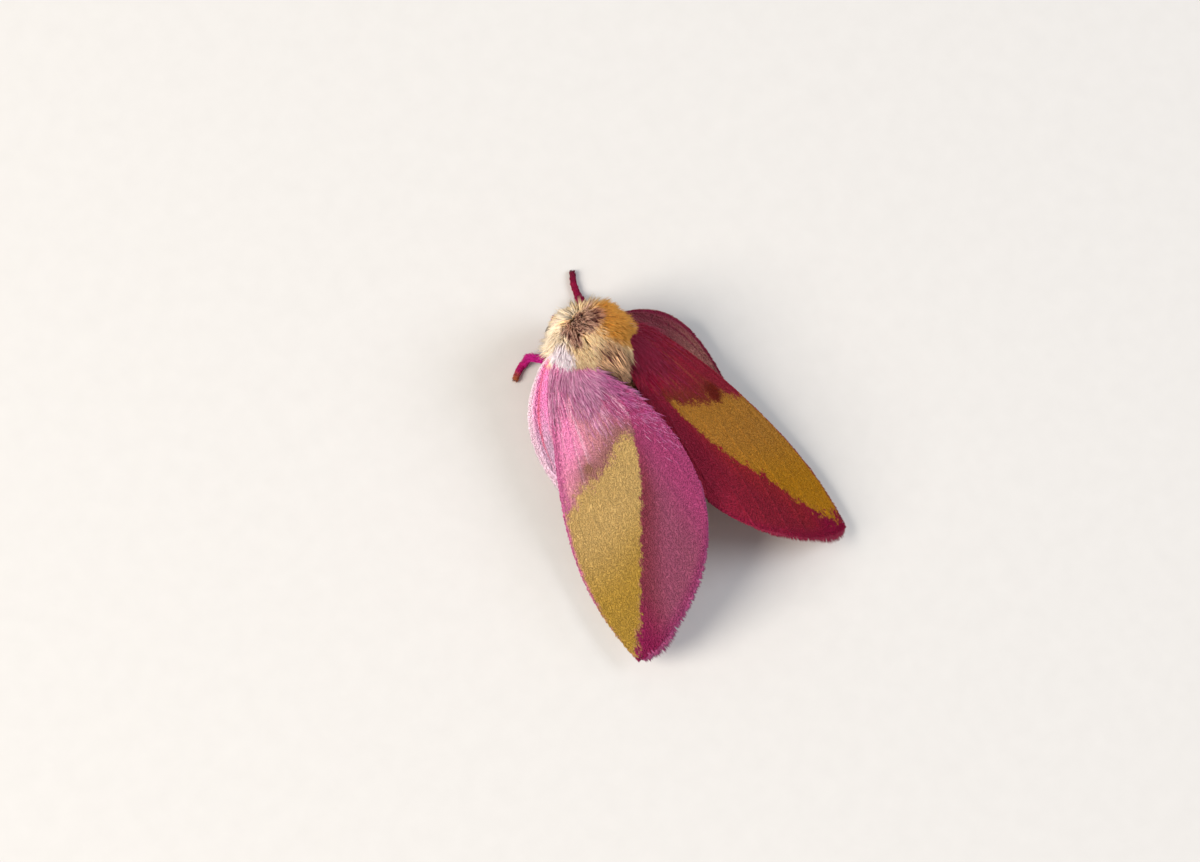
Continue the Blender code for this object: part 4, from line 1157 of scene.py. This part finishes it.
def make_abdomen_wool(number):
    """Close wool that lies back along the abdomen and ends in a small brush."""
    chance = np.random.default_rng(621)
    t = 0.03 + 0.965 * chance.random(number) ** 0.85
    turn = chance.uniform(0, 2 * math.pi, number)
    roots = on_abdomen(t, turn, 0.1)
    outs = unit(roots - on_abdomen(t, turn, 0.6) + 1e-6)
    ways = np.array([0.0, 1.0, -0.06]) + outs * chance.uniform(0.12, 0.34, number)[:, None]
    ways = ways + chance.normal(0, 0.10, (number, 3))
    lengths = (0.75 + 0.35 * eased((t - 0.8) / 0.2)) * chance.uniform(0.6, 1.1, number)
    unwrap = np.stack([t, turn / (2 * math.pi)], 1)
    make_wool("abdomen_wool", "abdomen", roots, ways, outs, lengths, 0.085, 0.16, unwrap, chance, roots)


make_head_wool(4500)
make_palp_hairs(500)
make_abdomen_wool(12000)


# %% [markdown]
# ## Legs
# Each leg runs from the hip under the thorax to a foot of five short segments and two claws,
# all clothed in rose scales and short hairs. A round tube is swept along a smooth path, with
# rings that swell and narrow at the joints, and then dressed in tufts as the body is.

# %% A closed tube along a path
def smooth_path(points, steps):
    """Points read from a smooth curve through the given ones."""
    ends = [2 * points[0] - points[1], *points, 2 * points[-1] - points[-2]]
    path = []
    for i in range(len(points) - 1):
        a, b, c, d = ends[i : i + 4]
        for t in np.arange(steps) / steps:
            path.append(0.5 * (2 * b + (c - a) * t + (2 * a - 5 * b + 4 * c - d) * t**2
                               + (3 * b - a - 3 * c + d) * t**3))
    return np.array([*path, points[-1]])


def path_frames(path):
    """Unit directions along a path and two square to it that turn as little as they can."""
    ways = unit(np.gradient(path, axis=0))
    first = unit(np.cross(ways[0], (0.3, 0.2, 1.0)))
    firsts = []
    for way in ways:
        first = unit(first - way * first.dot(way))
        firsts.append(first)
    firsts = np.array(firsts)
    return ways, firsts, np.cross(ways, firsts)


def tube(path, radii, sides):
    """Points and faces of a closed tube, and how far down the path each point lies."""
    _, first, second = path_frames(path)
    turn = np.linspace(0, 2 * math.pi, sides, endpoint=False)
    ring = np.cos(turn)[None, :, None] * first[:, None] + np.sin(turn)[None, :, None] * second[:, None]
    points = (path[:, None] + ring * radii[:, None, None]).reshape(-1, 3)
    index = np.arange(len(points)).reshape(len(path), sides)
    after = np.roll(index, -1, axis=1)
    quads = np.stack([index[:-1], after[:-1], after[1:], index[1:]], -1).reshape(-1, 4)
    points = np.concatenate([points, path[:1], path[-1:]])
    start, end = len(points) - 2, len(points) - 1
    caps = [np.stack([np.full(sides, start), after[0], index[0]], -1),
            np.stack([np.full(sides, end), index[-1], after[-1]], -1)]
    down = np.concatenate([np.repeat(np.linspace(0, 1, len(path)), sides), [0.0, 1.0]])
    return points, [quads, np.concatenate(caps)], down


def joined(parts):
    """Several tubes as one set of points and faces."""
    points, groups, base = [], {}, 0
    for more, faces, _ in parts:
        points.append(more)
        for kind in faces:
            groups.setdefault(kind.shape[1], []).append(kind + base)
        base += len(more)
    return np.concatenate(points), [np.concatenate(kinds) for kinds in groups.values()]


# %% Where each leg goes: hip, end of the hip, knee, ankle, heel, middle of the foot and its tip
LEG_PATHS = {
    "leg_front_left": (LEFT, ((1.0, -0.35, 3.6), (1.05, -0.75, 1.75), (1.2, -1.4, 1.15), (1.05, -1.6, 0.55),
                              (0.95, -1.75, 0.26), (0.65, -2.15, 0.2), (0.35, -2.5, 0.2))),
    "leg_front_right": (RIGHT, ((0.95, -0.4, 3.6), (1.15, -0.85, 1.75), (1.95, -2.1, 1.3), (2.2, -3.2, 0.72),
                                (2.32, -3.65, 0.27), (2.55, -4.55, 0.2), (2.9, -5.25, 0.2))),
    "leg_middle_left": (LEFT, ((1.1, 0.6, 3.6), (1.6, 0.5, 1.75), (2.05, -0.7, 1.6), (2.7, -1.66, 1.0),
                               (3.1, -1.68, 0.33), (3.6, -1.5, 0.2), (4.15, -1.1, 0.2))),
    "leg_middle_right": (RIGHT, ((1.1, 0.6, 3.6), (1.5, 0.55, 1.75), (2.4, -0.1, 1.35), (3.25, 0.25, 0.65),
                                 (3.5, 0.4, 0.27), (4.0, 0.65, 0.2), (4.6, 1.0, 0.2))),
    "leg_hind_left": (LEFT, ((1.0, 1.5, 3.6), (1.3, 1.9, 1.9), (2.6, 3.2, 1.75), (3.2, 5.8, 0.7),
                             (3.3, 6.3, 0.27), (3.45, 7.3, 0.2), (3.7, 8.4, 0.2))),
    "leg_hind_right": (RIGHT, ((1.0, 1.5, 3.6), (1.3, 1.9, 1.9), (2.6, 3.3, 1.7), (3.4, 5.9, 0.7),
                               (3.55, 6.4, 0.27), (3.8, 7.4, 0.2), (4.2, 8.5, 0.2))),
}
LEG_SKIN = (0.26, 0.24, 0.22, 0.21, 0.20, 0.20, 0.17)  # radii under the hairs, in mm
LEG_STEPS, LEG_SIDES, FOOT_SEGMENTS = 10, 14, 5
KNEE, ANKLE, HEEL = 2 / 6, 3.7 / 6, 4 / 6  # shares of the way down a leg
LEG_GRAIN = 0.12  # mm


# %% [markdown]
# Legs carry the same chitin scales as the wings, but narrower and closer, so they look like
# rough silk. Claws are bare chitin, dark and hard, which shines like horn.

# %% The legs' material
def leg_material(name, root, middle, end):
    """Rose scales that darken at the knee and turn brown at the foot's tip."""
    made, tree = new_material(name)
    place = add_node(tree, "ShaderNodeAttribute", attribute_name="place", out=1)
    down, tint = (add_node(tree, "ShaderNodeAttribute", attribute_name=key, out=2)
                  for key in ("down", "tint"))
    grain = add_node(tree, "ShaderNodeTexNoise", {"Vector": place, "Scale": 1 / LEG_GRAIN, "Detail": 3.0})
    colour = linear(root)
    for low, high, colour_there in ((0.45, 0.75, middle), (0.82, 0.97, end)):
        mask = add_node(tree, "ShaderNodeMapRange", {"Value": down, "From Min": low, "From Max": high})
        layer = {0: mask, 6: colour, 7: linear(colour_there)}
        colour = add_node(tree, "ShaderNodeMix", layer, out=2, data_type="RGBA")
    tone = 0.6
    for value, weight in ((grain, 0.5), (tint, 0.3)):
        tone = add_node(tree, "ShaderNodeMath", {0: value, 1: weight, 2: tone}, operation="MULTIPLY_ADD")
    colour = add_node(tree, "ShaderNodeVectorMath", {0: colour, 3: tone}, operation="SCALE")
    bump = add_node(tree, "ShaderNodeBump", {"Height": grain, "Strength": 0.4, "Distance": 0.03 * MM})
    shader = add_node(tree, "ShaderNodeBsdfPrincipled", {
        "Base Color": colour, "Roughness": 0.6, "IOR": CHITIN_IOR, "Specular IOR Level": 0.12, "Normal": bump,
        "Sheen Weight": 0.05, "Sheen Roughness": 0.4, "Sheen Tint": linear("#f070b0"),
    })
    add_node(tree, "ShaderNodeOutputMaterial", {"Surface": shader}, out=None)
    return made


# The left legs are painted a brighter rose, as painted light, and the right ones deep crimson, as painted
# shade.
LEG_MATERIALS = {
    LEFT: leg_material("rose_leg_scales_left", "#bc1a82", "#b01266", "#a85a38"),
    RIGHT: leg_material("rose_leg_scales_right", "#900a40", "#8a0838", "#6e1430"),
}
CLAW, claw_tree = new_material("dark_chitin_claw")
claw_grain = add_node(claw_tree, "ShaderNodeTexNoise", {"Scale": 9000.0, "Detail": 2.0})
claw_tones = {0: claw_grain, 6: linear("#2a1410"), 7: linear("#4a2418")}
claw_colour = add_node(claw_tree, "ShaderNodeMix", claw_tones, out=2, data_type="RGBA")
claw_shader = add_node(claw_tree, "ShaderNodeBsdfPrincipled", {
    "Base Color": claw_colour, "Roughness": 0.3, "IOR": CHITIN_IOR, "Coat Weight": 0.2})
add_node(claw_tree, "ShaderNodeOutputMaterial", {"Surface": claw_shader}, out=None)


# %% Legs, their hairs and claws
LEG_HAIRS = 1300
CLAW_LINE = (  # mm ahead of the foot's tip, to its side and up
    (-0.05, 0.04, 0.0), (0.06, 0.10, 0.02), (0.14, 0.14, -0.05), (0.17, 0.14, -0.14))


def make_leg(name, side, stations):
    """One leg: its skin, its hairs and its two claws."""
    number = LEG_HAIRS
    chance = np.random.default_rng(701 + sum(map(ord, name)))
    path = smooth_path(np.array(stations) * (side, 1, 1), LEG_STEPS)
    down = np.linspace(0, 1, len(path))
    radii = np.interp(down, np.linspace(0, 1, len(LEG_SKIN)), LEG_SKIN)
    foot = np.clip((down - HEEL) / (1 - HEEL), 0, 1)
    radii = radii * (1 - 0.13 * (np.cos(2 * math.pi * FOOT_SEGMENTS * foot) * 0.5 + 0.5) * (foot > 0))
    waists = sum(np.exp(-(((down - joint) / 0.02) ** 2)) for joint in (KNEE, ANKLE))
    radii = radii * (1 - 0.16 * waists)
    radii[-1] *= 0.6
    points, faces, fall = tube(path, radii, LEG_SIDES)
    material = LEG_MATERIALS[side]
    add_piece(f"{name}_skin", points, faces, material, [name],
              {"place": points, "down": fall, "tint": np.full(len(points), 0.4)})
    ways, first, second = path_frames(path)
    spot = np.clip(chance.random(number) * (len(path) - 1), 0, len(path) - 1.001)
    low, part = spot.astype(int), (spot % 1)[:, None]
    turn = chance.uniform(0, 2 * math.pi, number)
    outs = unit(np.cos(turn)[:, None] * first[low] + np.sin(turn)[:, None] * second[low])
    middle = path[low] * (1 - part) + path[low + 1] * part
    roots = middle + outs * (np.interp(spot, np.arange(len(path)), radii) - 0.02)[:, None]
    hair_ways = ways[low] + outs * chance.uniform(0.15, 0.42, number)[:, None]
    hair_ways = hair_ways + chance.normal(0, 0.08, (number, 3))
    share = spot / (len(path) - 1)
    lengths = (0.42 - 0.20 * eased((share - 0.55) / 0.2)) * chance.uniform(0.6, 1.1, number)
    near_floor = (roots[:, 2] < 0.3) & (hair_ways[:, 2] < 0)
    hair_ways[near_floor, 2] *= 0.3
    kept = roots[:, 2] + lengths * unit(hair_ways)[:, 2] > 0.02
    unwrap = np.stack([share, turn / (2 * math.pi)], 1)
    make_tufts(f"{name}_hairs", roots[kept], hair_ways[kept], outs[kept], lengths[kept], 0.06, 0.08,
               roots[kept], unwrap[kept], chance, material, [name], extra={"down": share[kept]})
    claws = []
    tip_way = unit(ways[-1] * (1, 1, 0))
    for turn_out in (-1, 1):
        sideways = np.cross(tip_way, (0, 0, 1)) * turn_out
        line = [path[-1] + tip_way * a + sideways * b + np.array([0, 0, c]) for a, b, c in CLAW_LINE]
        claws.append(tube(smooth_path(np.array(line), 3), np.linspace(0.035, 0.006, 10), 8))
    points, faces = joined(claws)
    add_piece(f"{name}_claws", points, faces, CLAW, [name])


for name, (side, stations) in LEG_PATHS.items():
    make_leg(name, side, stations)


# %% [markdown]
# ## Feelers and eyes
# The feelers are small combs: a shaft of about thirty rings, with side branches in two rows
# along it. At rest they lie back under the roots of the wings. The eyes are domes of
# hundreds of lenses: dark, smooth and glossy, with a faint honeycomb, which a Voronoi
# pattern in the bump gives. A real lens is about 0.025 mm across, and ours are twice that.

# %% Feelers
FEELER_PATH = ((0.42, -2.1, 3.4), (0.72, -2.42, 3.5), (1.15, -2.25, 3.22), (1.5, -1.75, 2.9),
               (1.75, -1.2, 2.65), (2.12, -0.55, 2.5), (2.3, 0.25, 2.4), (2.4, 1.1, 2.3))
FEELER = leg_material("rose_feeler", "#b06a72", "#a85a60", "#94504a")
FEELER_STEPS, FEELER_SIDES = 14, 10
BRANCH_TURNS = (0.0, 0.35, -0.35, math.pi, math.pi + 0.35, math.pi - 0.35)  # three on either side


def make_feeler(side, word):
    """One feeler: its ringed shaft and its side branches."""
    node = f"antenna_{word}"
    chance = np.random.default_rng(801 + side)
    path = smooth_path(np.array(FEELER_PATH) * (side, 1, 1), FEELER_STEPS)
    down = np.linspace(0, 1, len(path))
    ringed = 1 + 0.12 * (np.arange(len(path)) % 3 == 0)
    radii = np.interp(down, (0, 0.05, 0.15, 1), (0.11, 0.12, 0.075, 0.035)) * ringed
    points, faces, fall = tube(path, radii, FEELER_SIDES)
    add_piece(f"{node}_shaft", points, faces, FEELER, [node],
              {"place": points, "down": fall, "tint": np.full(len(points), 0.3)})
    ways, first, second = path_frames(path)
    rungs = np.arange(10, len(path) - 2, 2)
    turn = np.tile(BRANCH_TURNS, len(rungs))
    rungs = np.repeat(rungs, len(BRANCH_TURNS))
    outs = np.cos(turn)[:, None] * first[rungs] + np.sin(turn)[:, None] * second[rungs]
    lengths = np.interp(down[rungs], (0, 0.3, 0.8, 1), (0.10, 0.20, 0.18, 0.07))
    lengths = lengths * chance.uniform(0.85, 1.1, len(rungs))
    unwrap = np.stack([down[rungs], (turn % (2 * math.pi)) / (2 * math.pi)], 1)
    make_tufts(f"{node}_branches", path[rungs] + outs * 0.03, outs + ways[rungs] * 0.5, ways[rungs], lengths,
               0.045, 0.05, path[rungs], unwrap, chance, FEELER, [node],
               extra={"down": down[rungs]})


for side, word in SIDES:
    make_feeler(side, word)


# %% Eyes
LENS = 0.05  # mm
EYE, eye_tree = new_material("glossy_eye_lenses")
eye_place = add_node(eye_tree, "ShaderNodeAttribute", attribute_name="place", out=1)
lenses = add_node(eye_tree, "ShaderNodeTexVoronoi", {
    "Vector": eye_place, "Scale": 1 / LENS, "Randomness": 0.3})
eye_tone = add_node(eye_tree, "ShaderNodeTexNoise", {"Vector": eye_place, "Scale": 3.0, "Detail": 2.0})
eye_tones = {0: eye_tone, 6: linear("#1c100c"), 7: linear("#3a2218")}
eye_colour = add_node(eye_tree, "ShaderNodeMix", eye_tones, out=2, data_type="RGBA")
eye_relief = {"Height": lenses, "Strength": 0.35, "Distance": 0.01 * MM}
eye_bump = add_node(eye_tree, "ShaderNodeBump", eye_relief, invert=True)
eye_shader = add_node(eye_tree, "ShaderNodeBsdfPrincipled", {
    "Base Color": eye_colour, "Roughness": 0.18, "IOR": CHITIN_IOR, "Coat Weight": 0.4,
    "Coat Roughness": 0.08, "Normal": eye_bump})
add_node(eye_tree, "ShaderNodeOutputMaterial", {"Surface": eye_shader}, out=None)


def make_eye(side, word):
    """A round compound eye, set into the side of the head."""
    shape = bmesh.new()
    bmesh.ops.create_icosphere(shape, subdivisions=5, radius=EYE_RADIUS)
    points = np.array([vert.co for vert in shape.verts]) * (0.94, 1.0, 1.0) + EYE_CENTRE * (side, 1, 1)
    faces = np.array([[vert.index for vert in face.verts] for face in shape.faces])
    shape.free()
    add_piece(f"eye_{word}_dome", points, [faces], EYE, [f"eye_{word}"], {"place": points})


for side, word in SIDES:
    make_eye(side, word)


# %% [markdown]
# ## Floor, light and camera
# The stage is a plain pale floor of matt paper, which scatters light evenly and has no
# highlight of its own. A large soft lamp stands on the moth's left, so the left wing is bright
# and the right one, which slopes away, is darker; the right side's deep rose is painted shade as
# well, and the left side's paler colours painted light. A weak lamp opposite and a grey sky
# fill the shadows. The camera looks down from above the moth, turned as the photograph is.

# %% The floor
FLOOR_SIZE = 1.2  # m
half = FLOOR_SIZE / 2
floor_corners = [(-half, -half, 0), (half, -half, 0), (half, half, 0), (-half, half, 0)]
floor_mesh = bpy.data.meshes.new("floor")
floor_mesh.from_pydata(floor_corners, [], [(0, 1, 2, 3)])
floor = bpy.data.objects.new("floor", floor_mesh)
bpy.context.scene.collection.objects.link(floor)
PAPER, paper_tree = new_material("pale_matt_paper")
paper_grain = add_node(paper_tree, "ShaderNodeTexNoise", {"Scale": 900.0, "Detail": 3.0})
paper_tones = {0: paper_grain, 6: linear("#dcdad6"), 7: linear("#e2e0dc")}
paper_colour = add_node(paper_tree, "ShaderNodeMix", paper_tones, out=2, data_type="RGBA")
paper_finish = {"Base Color": paper_colour, "Roughness": 0.9}
paper_shader = add_node(paper_tree, "ShaderNodeBsdfPrincipled", paper_finish)
add_node(paper_tree, "ShaderNodeOutputMaterial", {"Surface": paper_shader}, out=None)
floor_mesh.materials.append(PAPER)

# %% The lamps and the sky
LAMPS = (  # name, direction from the moth, distance and size in m, power in W, colour
    ("key", (0.80, -0.20, 0.62), 0.60, 0.34, 4.2, "#fff6ec"),
    ("fill", (-0.7, 0.3, 0.7), 0.60, 0.40, 1.7, "#f2f4ff"),
)
AIM_HEIGHT = 0.004  # m above the floor
for name, way, distance, size, power, tone in LAMPS:
    lamp = bpy.data.lights.new(name, "AREA")
    lamp.shape, lamp.size, lamp.energy, lamp.color = "DISK", size, power, linear(tone)[:3]
    holder = bpy.data.objects.new(name, lamp)
    bpy.context.scene.collection.objects.link(holder)
    way = Vector(way).normalized()
    holder.location = way * distance + Vector((0, 0, AIM_HEIGHT))
    holder.rotation_euler = way.to_track_quat("Z", "Y").to_euler()
sky = bpy.data.worlds.new("soft_sky")
sky.use_nodes = True
sky.node_tree.nodes["Background"].inputs["Color"].default_value = linear("#dfe4e8")
sky.node_tree.nodes["Background"].inputs["Strength"].default_value = 0.45
bpy.context.scene.world = sky
bpy.context.scene.view_settings.view_transform = "Standard"

# %% The camera
LOOK_SIDEWAYS, LOOK_UP, LOOK_ROLL = 0.296, 0.130, 0.570  # radians
LOOK_OFFSET, LOOK_DISTANCE, LOOK_LENS = (-1.345, 4.372), 299.0, 141.0  # mm
LOOK_LIFT, SENSOR_WIDTH = 0.25, 36.0  # mm
back = np.array([math.sin(LOOK_SIDEWAYS) * math.cos(LOOK_UP), math.sin(LOOK_UP),
                 math.cos(LOOK_SIDEWAYS) * math.cos(LOOK_UP)])
level = unit(np.array([0.0, -1.0, 0.0]) - back * -back[1])
beside = np.cross(level, back)
right = math.cos(LOOK_ROLL) * beside - math.sin(LOOK_ROLL) * level
above = math.cos(LOOK_ROLL) * level + math.sin(LOOK_ROLL) * beside
spot = LOOK_DISTANCE * back - LOOK_OFFSET[0] * right - LOOK_OFFSET[1] * above + (0, 0, LOOK_LIFT) + SHIFT
camera = bpy.data.objects.new("camera", bpy.data.cameras.new("camera"))
camera.data.lens, camera.data.sensor_width = LOOK_LENS, SENSOR_WIDTH
camera.data.clip_start, camera.data.clip_end = 0.01, 5.0
turned = Matrix(np.stack([right, above, back], 1).tolist()).to_4x4()
camera.matrix_world = Matrix.Translation(Vector(spot * MM)) @ turned
bpy.context.scene.collection.objects.link(camera)
bpy.context.scene.camera = camera
print("camera at", [round(c, 4) for c in camera.location])
